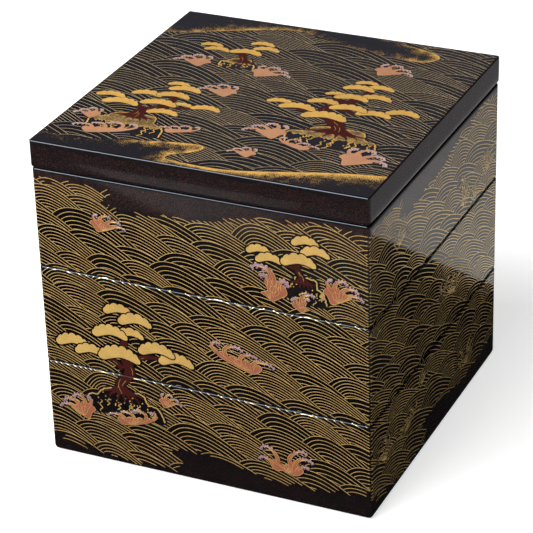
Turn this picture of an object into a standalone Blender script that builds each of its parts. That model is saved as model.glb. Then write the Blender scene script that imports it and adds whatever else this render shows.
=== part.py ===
"""A tiered lacquer food box: three square tiers, one on another, under a flat lift-off lid.

Each tier is an open wooden box with true walls. A thin lip stands up inside its top edge, and a
recess in the underside of the piece above drops over that lip, so the stack can't slide apart.
The lid is a shallow tray turned upside down, and it sits on the top tier in the same way.
Metres, +Z up, with the origin at the middle of the underside and -Y to the front.
"""

import bmesh
import bpy

# The stack
WIDTH = 0.195            # outside width and depth of every tier
TIER_PITCH = 0.0592      # height of one tier in the stack
LID_HEIGHT = 0.0162      # from the top tier's shoulder to the top of the lid
LID_OVERHANG = 0.0004    # how far the lid stands out past the tiers on each side
TIER_NAMES = ("bottom_tier", "middle_tier", "top_tier")

# Wood thicknesses
WALL = 0.005
FLOOR = 0.004
LID_PLATE = 0.004
LIP_HEIGHT = 0.004
LIP_THICKNESS = 0.0024
FOOT_RING = 0.010        # width of the rim that the lowest tier stands on
FOOT_HOLLOW = 0.0012     # how far its underside is set back inside that rim

# Play between pieces, and how far a cutter reaches past what it cuts
GAP = 0.0003
OVERRUN = 0.005

# Rounded edges
CORNER_RADIUS = 0.0020   # the four upright corners
INSIDE_RADIUS = 0.0030   # the upright corners of the hollows
SHOULDER_RADIUS = 0.0011
TIER_FOOT_RADIUS = 0.0008
BASE_RADIUS = 0.0030
LID_TOP_RADIUS = 0.0010
LID_RIM_RADIUS = 0.0018
LIP_RADIUS = 0.0006
EDGE_SEGMENTS = 4

# Finish: black-brown lacquer, polished
LACQUER_COLOUR = (0.012, 0.008, 0.009, 1.0)
LACQUER_ROUGHNESS = 0.18

SHOULDER_HEIGHT = TIER_PITCH - GAP
LIP_WIDTH = WIDTH - 2.0 * (WALL - LIP_THICKNESS)
RECESS_WIDTH = LIP_WIDTH + 2.0 * GAP
RECESS_DEPTH = LIP_HEIGHT + GAP
INSIDE_WIDTH = WIDTH - 2.0 * WALL


def clear_scene():
    for obj in list(bpy.data.objects):
        bpy.data.objects.remove(obj, do_unlink=True)


def new_collection(name):
    collection = bpy.data.collections.new(name)
    bpy.context.scene.collection.children.link(collection)
    return collection


def lacquer_material(name):
    material = bpy.data.materials.new(name)
    material.use_nodes = True
    shader = material.node_tree.nodes["Principled BSDF"]
    shader.inputs["Base Color"].default_value = LACQUER_COLOUR
    shader.inputs["Roughness"].default_value = LACQUER_ROUGHNESS
    shader.inputs["Metallic"].default_value = 0.0
    return material


def square_block(name, collection, width, low, high, corner=0.0, top=0.0, bottom=0.0):
    """A square block from z = low to z = high, whose edges are rounded by one Bevel modifier.

    corner, top and bottom are the radii of the upright, top and bottom edges. Each edge's bevel
    weight is its radius as a share of the largest.
    """
    bm = bmesh.new()
    bmesh.ops.create_cube(bm, size=1.0)
    bmesh.ops.scale(bm, verts=bm.verts, vec=(width, width, high - low))
    bmesh.ops.translate(bm, verts=bm.verts, vec=(0.0, 0.0, (high + low) / 2.0))
    largest = max(corner, top, bottom)
    weight = bm.edges.layers.float.new("bevel_weight_edge")
    for edge in bm.edges:
        z_first, z_second = (vertex.co.z for vertex in edge.verts)
        radius = corner if z_first != z_second else (top if z_first > (low + high) / 2.0 else bottom)
        edge[weight] = radius / largest if largest else 0.0
    mesh = bpy.data.meshes.new(name)
    bm.to_mesh(mesh)
    bm.free()
    block = bpy.data.objects.new(name, mesh)
    collection.objects.link(block)
    if largest:
        bevel = block.modifiers.new("round_edges", "BEVEL")
        bevel.limit_method = "WEIGHT"
        bevel.width = largest
        bevel.segments = EDGE_SEGMENTS
    return block


def helper_block(name, collection, width, low, high, **radii):
    """A block that only shapes another piece: drawn as wires and never rendered."""
    block = square_block(name, collection, width, low, high, **radii)
    block.hide_render = True
    block.display_type = "WIRE"
    return block


def combine(piece, other, operation):
    modifier = piece.modifiers.new(other.name, "BOOLEAN")
    modifier.operation = operation
    modifier.solver = "EXACT"
    modifier.object = other


def finish_piece(piece, material):
    piece.data.materials.append(material)
    piece.data.shade_smooth()
    smooth = piece.modifiers.new("keep_flats_flat", "WEIGHTED_NORMAL")
    smooth.keep_sharp = True


def build_tier(name, base, parts, cutters, is_lowest):
    """One tier whose underside is at z = base."""
    shoulder = base + SHOULDER_HEIGHT
    lip_top = shoulder + LIP_HEIGHT
    foot_radius = BASE_RADIUS if is_lowest else TIER_FOOT_RADIUS
    tier = square_block(
        name, parts, WIDTH, base, shoulder,
        corner=CORNER_RADIUS, top=SHOULDER_RADIUS, bottom=foot_radius,
    )
    lip = helper_block(
        name + "_lip", cutters, LIP_WIDTH, shoulder - OVERRUN, lip_top,
        corner=INSIDE_RADIUS, top=LIP_RADIUS,
    )
    if is_lowest:
        recess_width = WIDTH - 2.0 * FOOT_RING
        recess_depth = FOOT_HOLLOW
    else:
        recess_width = RECESS_WIDTH
        recess_depth = RECESS_DEPTH
    recess = helper_block(
        name + "_recess", cutters, recess_width, base - OVERRUN, base + recess_depth,
        corner=INSIDE_RADIUS,
    )
    floor_top = base + recess_depth + FLOOR
    hollow = helper_block(
        name + "_hollow", cutters, INSIDE_WIDTH, floor_top, lip_top + OVERRUN,
        corner=INSIDE_RADIUS,
    )
    combine(tier, lip, "UNION")
    combine(tier, hollow, "DIFFERENCE")
    combine(tier, recess, "DIFFERENCE")
    finish_piece(tier, lacquer_material(name + "_lacquer"))
    return tier


def build_lid(base, parts, cutters):
    """The lid, whose skirt ends at z = base."""
    top = base + LID_HEIGHT
    lid = square_block(
        "lid", parts, WIDTH + 2.0 * LID_OVERHANG, base, top,
        corner=CORNER_RADIUS, top=LID_TOP_RADIUS, bottom=LID_RIM_RADIUS,
    )
    hollow = helper_block(
        "lid_hollow", cutters, RECESS_WIDTH, base - OVERRUN, top - LID_PLATE,
        corner=INSIDE_RADIUS,
    )
    combine(lid, hollow, "DIFFERENCE")
    finish_piece(lid, lacquer_material("lid_lacquer"))
    return lid


def main():
    clear_scene()
    parts = new_collection("tiered_lacquer_box")
    cutters = new_collection("cutters")
    for level, name in enumerate(TIER_NAMES):
        build_tier(name, level * TIER_PITCH, parts, cutters, is_lowest=(level == 0))
    build_lid(len(TIER_NAMES) * TIER_PITCH, parts, cutters)


main()
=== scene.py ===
# %% [markdown]
# # A tiered lacquer box with gold waves and pines
# The construction is already there: three square tiers and a lid, loaded as a fixed frame. This lesson
# gives them their looks. The lacquer is a material on the loaded tiers and lid. The picture on it is
# real, very thin geometry: gold lines as low ridges, and pines, rocks and foam as flat coloured films.
# Lengths in the picture are in millimetres, and become metres when a mesh is made.

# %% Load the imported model
import math
from collections import namedtuple

import bpy
import numpy as np
from mathutils import Euler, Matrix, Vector
from mathutils.geometry import delaunay_2d_cdt


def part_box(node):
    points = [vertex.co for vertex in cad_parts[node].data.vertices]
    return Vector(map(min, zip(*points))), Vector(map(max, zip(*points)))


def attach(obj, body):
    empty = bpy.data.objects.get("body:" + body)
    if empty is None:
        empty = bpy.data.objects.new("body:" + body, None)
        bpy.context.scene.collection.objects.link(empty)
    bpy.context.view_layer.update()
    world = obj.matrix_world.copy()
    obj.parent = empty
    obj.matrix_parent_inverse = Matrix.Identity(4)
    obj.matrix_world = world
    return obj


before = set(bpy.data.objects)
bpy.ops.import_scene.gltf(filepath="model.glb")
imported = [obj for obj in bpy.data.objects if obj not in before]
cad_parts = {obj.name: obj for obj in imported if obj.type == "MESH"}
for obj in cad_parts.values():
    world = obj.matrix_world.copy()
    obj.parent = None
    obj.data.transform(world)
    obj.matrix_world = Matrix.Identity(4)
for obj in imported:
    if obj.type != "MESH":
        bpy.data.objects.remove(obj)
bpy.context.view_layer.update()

BODY = "root"
MM = 0.001
TIERS = ("bottom_tier", "middle_tier", "top_tier")

# %% [markdown]
# ## Sizes, read from the frame
# The picture has to follow the box closely: it wraps over the rounded shoulders and stops at the
# joints. Heights and widths come from the loaded tiers. The edge radii are the joiner's own choice,
# so they are named here once.

# %% Read the box's sizes in millimetres
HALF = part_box("middle_tier")[1].x / MM
LID_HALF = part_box("lid")[1].x / MM
LID_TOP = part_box("lid")[1].z / MM
LID_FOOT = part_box("lid")[0].z / MM
FOOTS = [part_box(name)[0].z / MM for name in TIERS]
PITCH = FOOTS[1] - FOOTS[0]
JOINT_GAP = 0.3
TIER_HEIGHT = PITCH - JOINT_GAP

CORNER_RADIUS = 2.0
SHOULDER_RADIUS = 1.1
FOOT_RADII = (3.0, 0.8, 0.8)
LID_TOP_RADIUS = 1.0
print(f"tiers {2 * HALF:.1f} mm wide and {PITCH:.1f} mm high, lid top at {LID_TOP:.1f} mm")

# %% [markdown]
# ## Camera
# The box is seen from in front, a little to its right and about 28 degrees above, through a long lens
# that keeps its upright edges nearly parallel.

# %% Camera
CAMERA_PLACE = (0.50449, -1.08195, 0.72071)
CAMERA_TURN = (62.073, 1.627, 24.411)
CAMERA_LENS = 160.29

camera = bpy.data.objects.new("camera", bpy.data.cameras.new("camera"))
camera.location = CAMERA_PLACE
camera.rotation_euler = Euler([math.radians(angle) for angle in CAMERA_TURN])
camera.data.lens = CAMERA_LENS
camera.data.sensor_width = 36.0
bpy.context.scene.collection.objects.link(camera)
bpy.context.scene.camera = camera
print(f"camera: {CAMERA_LENS:.0f} mm lens, {camera.location.length:.2f} m from the foot of the box")

# %% [markdown]
# ## Node helpers
# Materials are built from shader nodes. One helper starts a material, another adds a node, sets its
# properties and fills its inputs, either with a value or with a link. A third starts a node group
# with named sockets, so that several materials can use one effect with values of their own.

# %% Node helpers
def new_material(name, values):
    """A material, its node tree and its shader, with values set on the shader's own sockets."""
    material = bpy.data.materials.new(name)
    material.use_nodes = True
    shader = material.node_tree.nodes["Principled BSDF"]
    for socket, value in values.items():
        shader.inputs[socket].default_value = value
    return material, material.node_tree, shader


def add_node(tree, kind, inputs=None, **settings):
    """Adds a shader node. inputs maps a socket's name or number to a value or to another socket."""
    made = tree.nodes.new("ShaderNode" + kind)
    for name, value in settings.items():
        setattr(made, name, value)
    for name, value in (inputs or {}).items():
        if isinstance(value, bpy.types.NodeSocket):
            tree.links.new(value, made.inputs[name])
        else:
            made.inputs[name].default_value = value
    return made


def math_node(tree, operation, first, second=0.0):
    """The result of one sum, product or comparison of two values."""
    return add_node(tree, "Math", {0: first, 1: second}, operation=operation).outputs[0]


def ramp(tree, value, low, high, start=0.0, end=1.0):
    """value from low..high to start..end, smooth at both ends."""
    made = add_node(
        tree, "MapRange",
        {"Value": value, "From Min": low, "From Max": high, "To Min": start, "To Max": end},
        interpolation_type="SMOOTHSTEP",
    )
    return made.outputs["Result"]


def mix_colour(tree, share, first, second):
    """A blend of two colours, with share as the second one's part."""
    made = add_node(tree, "Mix", data_type="RGBA")
    for name, value in (("Factor", share), ("A", first), ("B", second)):
        sockets = [s for s in made.inputs if s.name == name and s.enabled]
        if isinstance(value, bpy.types.NodeSocket):
            tree.links.new(value, sockets[0])
        else:
            sockets[0].default_value = value
    return [s for s in made.outputs if s.enabled][0]


def new_group(name, inputs, outputs):
    """An empty shader node group. Each socket is (label, kind, value)."""
    group = bpy.data.node_groups.new(name, "ShaderNodeTree")
    for label, kind, value in inputs:
        socket = group.interface.new_socket(label, in_out="INPUT", socket_type="NodeSocket" + kind)
        socket.default_value = value
    for label, kind in outputs:
        group.interface.new_socket(label, in_out="OUTPUT", socket_type="NodeSocket" + kind)
    return group, group.nodes.new("NodeGroupInput"), group.nodes.new("NodeGroupOutput")


def grey(value):
    return (value, value, value, 1.0)


print("node helpers ready")

# %% [markdown]
# ## Floor
# The box stands on a plain, pale table. The table glows a little where the camera looks straight at
# it, as a light table does, which keeps it near white without a hard lamp. It is left out of
# reflections: what the polished sides mirror is laid out in the next step.

# %% Floor
FLOOR_SIZE = 12.0
FLOOR_GLOW = 0.60


def flat_square(name, width, depth, place):
    bpy.ops.mesh.primitive_plane_add(size=1.0, location=place)
    made = bpy.context.object
    made.name = name
    made.scale = (width, depth, 1.0)
    return made


def light_table_material(name, colour, roughness, glow):
    """A pale finish that glows only where the camera looks at it."""
    white = {"Base Color": colour, "Roughness": roughness, "Emission Color": grey(1.0)}
    material, tree, shader = new_material(name, white)
    seen = add_node(tree, "LightPath").outputs["Is Camera Ray"]
    tree.links.new(math_node(tree, "MULTIPLY", seen, glow), shader.inputs["Emission Strength"])
    return material


floor = flat_square("floor", FLOOR_SIZE, FLOOR_SIZE, (0.0, 0.0, 0.0))
floor.data.materials.append(light_table_material("pale_floor", grey(0.80), 0.9, FLOOR_GLOW))
floor.visible_glossy = False
print(f"floor: {FLOOR_SIZE:.0f} m square")

# %% [markdown]
# ## Reflection cards
# Polished black lacquer shows whatever stands around it, so whoever lights such a box lays dark and
# grey cards beside it. These are seen in reflections and nowhere else. The dark ones keep the front
# black, and they end behind the box, where its right side mirrors a floor that fades into the room.
# The lid stands higher than the tiers, so it mirrors the floor farther out and has two of its own.
# Two bright cards high on the left light the shoulders, and a row behind the box lights the lid.

# %% A card that only reflections see
CARD_HEIGHT = 0.0004
CARD_TURN = math.radians(21.0)      # the floor cards lie square to the camera
CARD_REACH = 3.0                    # where a floor card ends if nothing else is said


def reflection_card(name, width, depth, place, turn, brightness, tint=(1.0, 1.0, 1.0)):
    card = flat_square(name, width, depth, place)
    card.rotation_euler = turn
    glow = {"Base Color": grey(0.0), "Specular IOR Level": 0.0}
    glow.update({"Emission Color": (*tint, 1.0), "Emission Strength": brightness})
    card.data.materials.append(new_material(name, glow)[0])
    card.visible_camera = False
    card.visible_diffuse = False
    card.visible_shadow = False
    card.visible_transmission = False


def floor_card(name, front, back, brightness, right=CARD_REACH, lift=0.0):
    """A card flat on the floor, from one distance behind the box's middle to another."""
    left = -CARD_REACH
    across, away = (left + right) / 2.0, (front + back) / 2.0
    x = math.cos(CARD_TURN) * across - math.sin(CARD_TURN) * away
    y = math.sin(CARD_TURN) * across + math.cos(CARD_TURN) * away
    place = (x, y, CARD_HEIGHT + lift)
    reflection_card(name, right - left, back - front, place, (0.0, 0.0, CARD_TURN), brightness)


# %% Cards on the floor
DARK_BACK = 0.1202
DARK_FRONT = -0.272
HALF_DARK_FRONT = DARK_FRONT - 0.03
GREY_STEPS = 6                      # the floor fades from the box into the room
GREY_DEPTH = 0.03
GREY_END = 4.0
GREY_BRIGHTEST = 0.60
GREY_FALL = 0.030
LID_CARD_FRONT = 0.4285             # beyond these two, only the lid's sides mirror the floor
LID_CARD_RIGHT = 0.2285
LID_CARD_HEIGHT = CARD_HEIGHT + 0.0002
LEVEL = (0.0, 0.0, 0.0)

floor_card("dark_card", DARK_FRONT, DARK_BACK, 0.012)
floor_card("half_dark_card", HALF_DARK_FRONT, DARK_FRONT, 0.10)
floor_card("front_card", -CARD_REACH, HALF_DARK_FRONT, 0.18)
floor_card("front_left_card", -CARD_REACH, HALF_DARK_FRONT, 0.39, right=-0.235, lift=0.00005)
floor_card("front_corner_card", -CARD_REACH, HALF_DARK_FRONT, 0.52, right=-0.272, lift=0.0001)
for step in range(GREY_STEPS):
    start = DARK_BACK + GREY_DEPTH * step
    end = start + GREY_DEPTH if step < GREY_STEPS - 1 else GREY_END
    floor_card(f"grey_card_{step}", start, end, GREY_BRIGHTEST - GREY_FALL * step)
reflection_card("lid_front_card", 6.0, 3.0, (0.0, -LID_CARD_FRONT - 1.5, LID_CARD_HEIGHT), LEVEL, 0.09)
lid_right_place = (LID_CARD_RIGHT + 1.5, 1.0, LID_CARD_HEIGHT)
reflection_card("lid_right_card", 3.0, 6.0, lid_right_place, LEVEL, 0.24, (0.98, 0.97, 1.0))
print("floor cards:", GREY_STEPS, "grey steps behind the dark card")

# %% Cards above and behind the box
HIGH_LEFT_TILT = Vector((-0.41, -0.61, 0.67)).to_track_quat("Z", "Y").to_euler()
BACK_GLOWS = (0.125, 0.130, 0.155, 0.185)      # brighter towards the right
BACK_WIDTH = 0.375
BACK_LEFT = -1.4125
UPRIGHT = (math.radians(90.0), 0.0, 0.0)

reflection_card("cool_card", 1.3, 0.65, (-0.59, -0.98, 1.12), HIGH_LEFT_TILT, 11.0, (0.68, 0.84, 1.0))
reflection_card("white_card", 0.52, 0.65, (-0.93, -0.95, 1.09), HIGH_LEFT_TILT, 22.0, (1.0, 0.97, 0.92))
for step, glow in enumerate(BACK_GLOWS):
    place = (BACK_LEFT + BACK_WIDTH * step, 1.5, 0.95)
    reflection_card(f"back_card_{step}", BACK_WIDTH, 1.3, place, UPRIGHT, glow, (0.88, 0.93, 1.18))
print("cards behind the box:", len(BACK_GLOWS))

# %% [markdown]
# ## Soft boxes and the room
# Three large, soft lamps light the matt gold and the floor. They are left out of reflections, which
# the cards already give. The room itself lights every surface evenly and is dark only in mirrors.

# %% Soft boxes and the room
BOX_MIDDLE = (0.0, 0.0, 0.1)
ROOM_LIGHT = 0.75
ROOM_IN_MIRRORS = 0.04


def soft_box(name, place, size, watts):
    """A soft rectangular lamp that points at the middle of the box."""
    light = bpy.data.lights.new(name, "AREA")
    light.shape = "RECTANGLE"
    light.size, light.size_y = size
    light.energy = watts
    made = bpy.data.objects.new(name, light)
    made.location = place
    made.rotation_euler = (Vector(BOX_MIDDLE) - Vector(place)).to_track_quat("-Z", "Y").to_euler()
    made.visible_glossy = False
    bpy.context.scene.collection.objects.link(made)


soft_box("overhead_box", (-0.35, -0.75, 1.25), (1.0, 0.8), 26.0)
soft_box("left_box", (-1.5, -0.9, 0.9), (0.9, 1.2), 12.0)
soft_box("right_box", (1.5, 0.2, 0.9), (0.9, 1.2), 6.8)

world = bpy.data.worlds.new("room")
world.use_nodes = True
bpy.context.scene.world = world
room = world.node_tree
mirror_ray = add_node(room, "LightPath").outputs["Is Glossy Ray"]
strength = ramp(room, mirror_ray, 0.0, 1.0, ROOM_LIGHT, ROOM_IN_MIRRORS)
room.links.new(strength, room.nodes["Background"].inputs["Strength"])
bpy.context.scene.view_settings.view_transform = "Standard"
print("lamps:", len(bpy.data.lights))

# %% [markdown]
# ## Black lacquer
# Real lacquer is built up in thin coats and polished to a mirror. It is never a flat black: a faint
# brown-red dust lies in it, the polish has soft waves, and the edges wear towards wine red. A node
# group makes those effects from places on the box, and the lid and tiers use it with their own values.

# %% Shared effect: lacquer body
LACQUER_INPUTS = [
    ("Lacquer", "Color", (0.006, 0.0045, 0.005, 1.0)),
    ("Dust", "Color", (0.15, 0.060, 0.046, 1.0)),
    ("Dust Share", "Float", 0.42),
    ("Dust Size", "Float", 0.00024),
    ("Dust Ends", "Float", 0.0),
    ("Dust Begins", "Float", 0.001),
    ("Worn", "Color", (0.035, 0.009, 0.008, 1.0)),
    ("Half Width", "Float", 0.0975),
    ("Low", "Float", 0.0),
    ("High", "Float", 0.0589),
    ("Wear", "Float", 0.5),
]
FINISH_OUTPUTS = [("Color", "Color"), ("Roughness", "Float"), ("Height", "Float")]


def dusted_lacquer(group, entry, place, axes, from_end):
    """Lacquer with flat specks of dust, thick in clouds and thin between the dust's two heights."""
    scale = math_node(group, "DIVIDE", 1.0, entry.outputs["Dust Size"])
    grains = add_node(group, "TexVoronoi", {"Vector": place, "Scale": scale}, feature="F1")
    clouds = add_node(group, "TexNoise", {"Vector": place, "Scale": 60.0, "Detail": 3.0})
    picked = add_node(group, "SeparateColor", {"Color": grains.outputs["Color"]}).outputs[0]
    drift = ramp(group, clouds.outputs["Fac"], 0.35, 0.65, 0.7, 1.3)
    sway = math_node(group, "MULTIPLY", clouds.outputs["Fac"], 0.006)
    swayed = math_node(group, "ADD", axes.outputs["Z"], sway)
    bank = add_node(
        group, "MapRange",
        {"Value": swayed, "From Min": entry.outputs["Dust Ends"], "From Max": entry.outputs["Dust Begins"]},
        interpolation_type="SMOOTHSTEP",
    )
    share = math_node(group, "MULTIPLY", entry.outputs["Dust Share"], drift)
    share = math_node(group, "MULTIPLY", share, bank.outputs["Result"])
    share = math_node(group, "MULTIPLY", share, ramp(group, from_end, 0.0008, 0.0022))
    dust = math_node(group, "LESS_THAN", picked, share)
    speck = ramp(group, grains.outputs["Distance"], 0.15, 0.5, 1.0, 0.0)
    dusted = math_node(group, "MULTIPLY", dust, speck)
    return mix_colour(group, dusted, entry.outputs["Lacquer"], entry.outputs["Dust"])


def edge_wear(group, entry, place, axes, from_end):
    """A ragged mask along the edges of a square box, from where its two nearest faces lie."""
    half = entry.outputs["Half Width"]
    near_x = math_node(group, "SUBTRACT", half, math_node(group, "ABSOLUTE", axes.outputs["X"]))
    near_y = math_node(group, "SUBTRACT", half, math_node(group, "ABSOLUTE", axes.outputs["Y"]))
    side = math_node(group, "MINIMUM", near_x, near_y)
    corner = math_node(group, "MAXIMUM", near_x, near_y)
    rim = math_node(group, "MAXIMUM", side, from_end)
    edge = math_node(group, "MINIMUM", corner, rim)
    ragged = add_node(group, "TexNoise", {"Vector": place, "Scale": 220.0, "Detail": 4.0})
    reach = ramp(group, ragged.outputs["Fac"], 0.3, 0.7, 0.0004, 0.0022)
    worn = ramp(group, math_node(group, "DIVIDE", edge, reach), 0.0, 1.0, 1.0, 0.0)
    return math_node(group, "MULTIPLY", worn, entry.outputs["Wear"])


def lacquer_group():
    group, entry, leave = new_group("lacquer_body", LACQUER_INPUTS, FINISH_OUTPUTS)
    place = add_node(group, "TexCoord").outputs["Object"]
    axes = add_node(group, "SeparateXYZ", {"Vector": place})
    above_foot = math_node(group, "SUBTRACT", axes.outputs["Z"], entry.outputs["Low"])
    below_top = math_node(group, "SUBTRACT", entry.outputs["High"], axes.outputs["Z"])
    from_end = math_node(group, "MINIMUM", above_foot, below_top)
    body = dusted_lacquer(group, entry, place, axes, from_end)
    worn = edge_wear(group, entry, place, axes, from_end)
    group.links.new(mix_colour(group, worn, body, entry.outputs["Worn"]), leave.inputs["Color"])
    smear = add_node(group, "TexNoise", {"Vector": place, "Scale": 18.0, "Detail": 4.0})
    polish = ramp(group, smear.outputs["Fac"], 0.3, 0.7, 0.03, 0.07)
    polish = math_node(group, "ADD", polish, math_node(group, "MULTIPLY", worn, 0.10))
    group.links.new(polish, leave.inputs["Roughness"])
    waver = add_node(group, "TexNoise", {"Vector": place, "Scale": 45.0, "Detail": 1.0})
    group.links.new(waver.outputs["Fac"], leave.inputs["Height"])
    return group


LACQUER_BODY = lacquer_group()
print("lacquer group:", ", ".join(label for label, _, _ in LACQUER_INPUTS))

# %% [markdown]
# ## Lacquer on the tiers and the lid
# Each tier and the lid get a lacquer of their own, because the dust lies elsewhere on each: thickly
# under the lid, thinly by the table, and not at all in the middle. Under the lid and on the lid's sides
# the dust also lightens the lacquer: real specks, and in part a painted sheen. The loaded meshes have flat
# facets. A weld, split edges and weighted normals shade their rounded edges smooth, and keep the
# large flats as true as a mirror needs.

# %% Lacquer on the tiers and the lid
LACQUER_RIPPLE = 0.000012
LACQUER_IOR = 1.5
WELD_REACH = 0.000001
SHARPEST_SMOOTH = math.radians(35.0)


def finished_material(name, group, values, relief, sockets):
    """A material whose colour, roughness and relief come from a shared group with its own values."""
    material, tree, shader = new_material(name, sockets)
    finish = add_node(tree, "Group", values, node_tree=group)
    tree.links.new(finish.outputs["Color"], shader.inputs["Base Color"])
    tree.links.new(finish.outputs["Roughness"], shader.inputs["Roughness"])
    bump = add_node(tree, "Bump", {"Distance": relief, "Height": finish.outputs["Height"]})
    tree.links.new(bump.outputs["Normal"], shader.inputs["Normal"])
    return material


def lacquer_material(name, values):
    return finished_material(name, LACQUER_BODY, values, LACQUER_RIPPLE, {"IOR": LACQUER_IOR})


def dress_node(name, material):
    """Puts a material on a loaded part, and shades its rounded edges smooth and its flats flat."""
    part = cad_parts[name]
    part.data.materials.clear()
    part.data.materials.append(material)
    part.data.polygons.foreach_set("use_smooth", [True] * len(part.data.polygons))
    joined = part.modifiers.new("joined_facets", "WELD")
    joined.merge_threshold = WELD_REACH
    creased = part.modifiers.new("creased_edges", "EDGE_SPLIT")
    creased.split_angle = SHARPEST_SMOOTH
    creased.use_edge_sharp = False
    part.modifiers.new("steady_flats", "WEIGHTED_NORMAL")


NO_DUST = (9.0, 9.1, 0.0)
DUST_AND_SHEEN_BANKS = {
    "bottom_tier": (0.024, 0.012, 0.14),       # where the dust ends and begins, and its share
    "middle_tier": NO_DUST,
    # Thick under the lid: real specks that also lighten that band, in part a painted sheen.
    "top_tier": (0.162, 0.170, 0.50),
}
WEAR = {"bottom_tier": 0.12, "middle_tier": 0.12, "top_tier": 0.3}
for foot, name in zip(FOOTS, TIERS):
    values = {"Half Width": HALF * MM, "Low": foot * MM, "High": (foot + TIER_HEIGHT) * MM}
    values["Wear"] = WEAR[name]
    values["Dust Ends"], values["Dust Begins"], values["Dust Share"] = DUST_AND_SHEEN_BANKS[name]
    dress_node(name, lacquer_material(name + "_lacquer", values))
# The lid's dust lies all over it and lightens its sides: real specks, and in part a painted sheen.
lid_values = {
    "Half Width": LID_HALF * MM, "Low": LID_FOOT * MM, "High": LID_TOP * MM, "Wear": 0.4,
    "Dust": (0.18, 0.055, 0.042, 1.0), "Dust Share": 0.27,
    "Dust Ends": LID_TOP * MM + 0.0017, "Dust Begins": LID_TOP * MM,
}
dress_node("lid", lacquer_material("lid_lacquer", lid_values))
print("lacquer on", len(TIERS) + 1, "parts")

# %% [markdown]
# ## Gold and coloured powders
# The picture is drawn in wet lacquer and dusted with metal or pigment powder. Close up it is a
# grainy ground that varies in tone, with brighter grains and small bare spots. One group makes that
# grain, and each powder gets its own colours. Above a height gold is made smoother and paler: the paler
# colour is a painted highlight where a tier's shoulder catches the light. Gold is also polished smoother on
# the sides and back than on the front.

# %% Shared effect: sprinkled powder
POWDER_INPUTS = [
    ("Ground", "Color", (0.5, 0.3, 0.1, 1.0)),
    ("Bright Grain", "Color", (0.8, 0.6, 0.25, 1.0)),
    ("Thin Spot", "Color", (0.2, 0.1, 0.04, 1.0)),
    ("Grain Size", "Float", 0.0004),
    ("Drift Size", "Float", 0.006),
    ("Thin Share", "Float", 0.3),
    ("Smooth", "Float", 0.32),
    ("Rough", "Float", 0.5),
    # From this height up the gold turns smoother and paler: a painted highlight on a tier's shoulder.
    ("Glint Begins", "Float", 9.0),
    ("Glint Ends", "Float", 9.1),
    ("Painted Glint", "Color", (1.0, 0.84, 0.50, 1.0)),
    ("Side Polish", "Float", 0.0),
]


def noise_of_size(group, place, size, detail):
    """Noise whose lumps are about as large as a size in metres."""
    scale = math_node(group, "DIVIDE", 1.0, size)
    return add_node(group, "TexNoise", {"Vector": place, "Scale": scale, "Detail": detail}).outputs["Fac"]


def powder_colour(group, entry, grain, drift, shoulder_glint):
    bright = ramp(group, grain, 0.45, 0.7)
    thin = ramp(group, drift, 0.62, 0.35, 0.0, 1.0)
    thin = math_node(group, "MULTIPLY", thin, entry.outputs["Thin Share"])
    tone = mix_colour(group, bright, entry.outputs["Ground"], entry.outputs["Bright Grain"])
    tone = mix_colour(group, thin, tone, entry.outputs["Thin Spot"])
    # A paler gold mixed in over the shoulder: a painted highlight.
    return mix_colour(group, shoulder_glint, tone, entry.outputs["Painted Glint"])


def powder_roughness(group, entry, grain, shoulder_glint):
    """Rougher on the grains, smoother over a tier's shoulder, where the gold's highlight is painted, and on
    every side but the front.
    """
    sheen = add_node(
        group, "MapRange",
        {"Value": grain, "From Min": 0.3, "From Max": 0.7,
         "To Min": entry.outputs["Smooth"], "To Max": entry.outputs["Rough"]},
    )
    keep_dull = ramp(group, shoulder_glint, 0.0, 1.0, 1.0, 0.55)
    dullness = math_node(group, "MULTIPLY", sheen.outputs["Result"], keep_dull)
    facing = add_node(group, "TexCoord").outputs["Normal"]
    beside = ramp(group, add_node(group, "SeparateXYZ", {"Vector": facing}).outputs["Y"], -0.75, -0.45)
    polish = math_node(group, "MULTIPLY", beside, entry.outputs["Side Polish"])
    return math_node(group, "MULTIPLY", dullness, math_node(group, "SUBTRACT", 1.0, polish))


def powder_group():
    group, entry, leave = new_group("sprinkled_powder", POWDER_INPUTS, FINISH_OUTPUTS)
    place = add_node(group, "TexCoord").outputs["Object"]
    grain = noise_of_size(group, place, entry.outputs["Grain Size"], 2.0)
    drift = noise_of_size(group, place, entry.outputs["Drift Size"], 5.0)
    height = add_node(group, "SeparateXYZ", {"Vector": place}).outputs["Z"]
    begins, ends = entry.outputs["Glint Begins"], entry.outputs["Glint Ends"]
    # How far up the shoulder's painted highlight has come.
    glint_span = add_node(group, "MapRange", {"Value": height, "From Min": begins, "From Max": ends})
    shoulder_glint = glint_span.outputs["Result"]
    group.links.new(powder_colour(group, entry, grain, drift, shoulder_glint), leave.inputs["Color"])
    group.links.new(powder_roughness(group, entry, grain, shoulder_glint), leave.inputs["Roughness"])
    group.links.new(grain, leave.inputs["Height"])
    return group


SPRINKLED_POWDER = powder_group()
print("powder group:", ", ".join(label for label, _, _ in POWDER_INPUTS))

# %% [markdown]
# ## The powders of this picture
# Gold dust looks different by its fineness: fine for the lines, coarser and browner for rocks and
# mist, pale on the lid, where the lines are thinner. The dark red of the trunks, the coral and the
# lilac are pigments, with little or no metal in them.

# %% The powders of this picture
POWDER_RELIEF = 0.00002
# Between these two heights the shoulder's gold is smoother and painted paler, as a painted highlight.
GLINT_FROM, GLINT_FULLY = 1.0, 0.4      # millimetres below a tier's top

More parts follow.
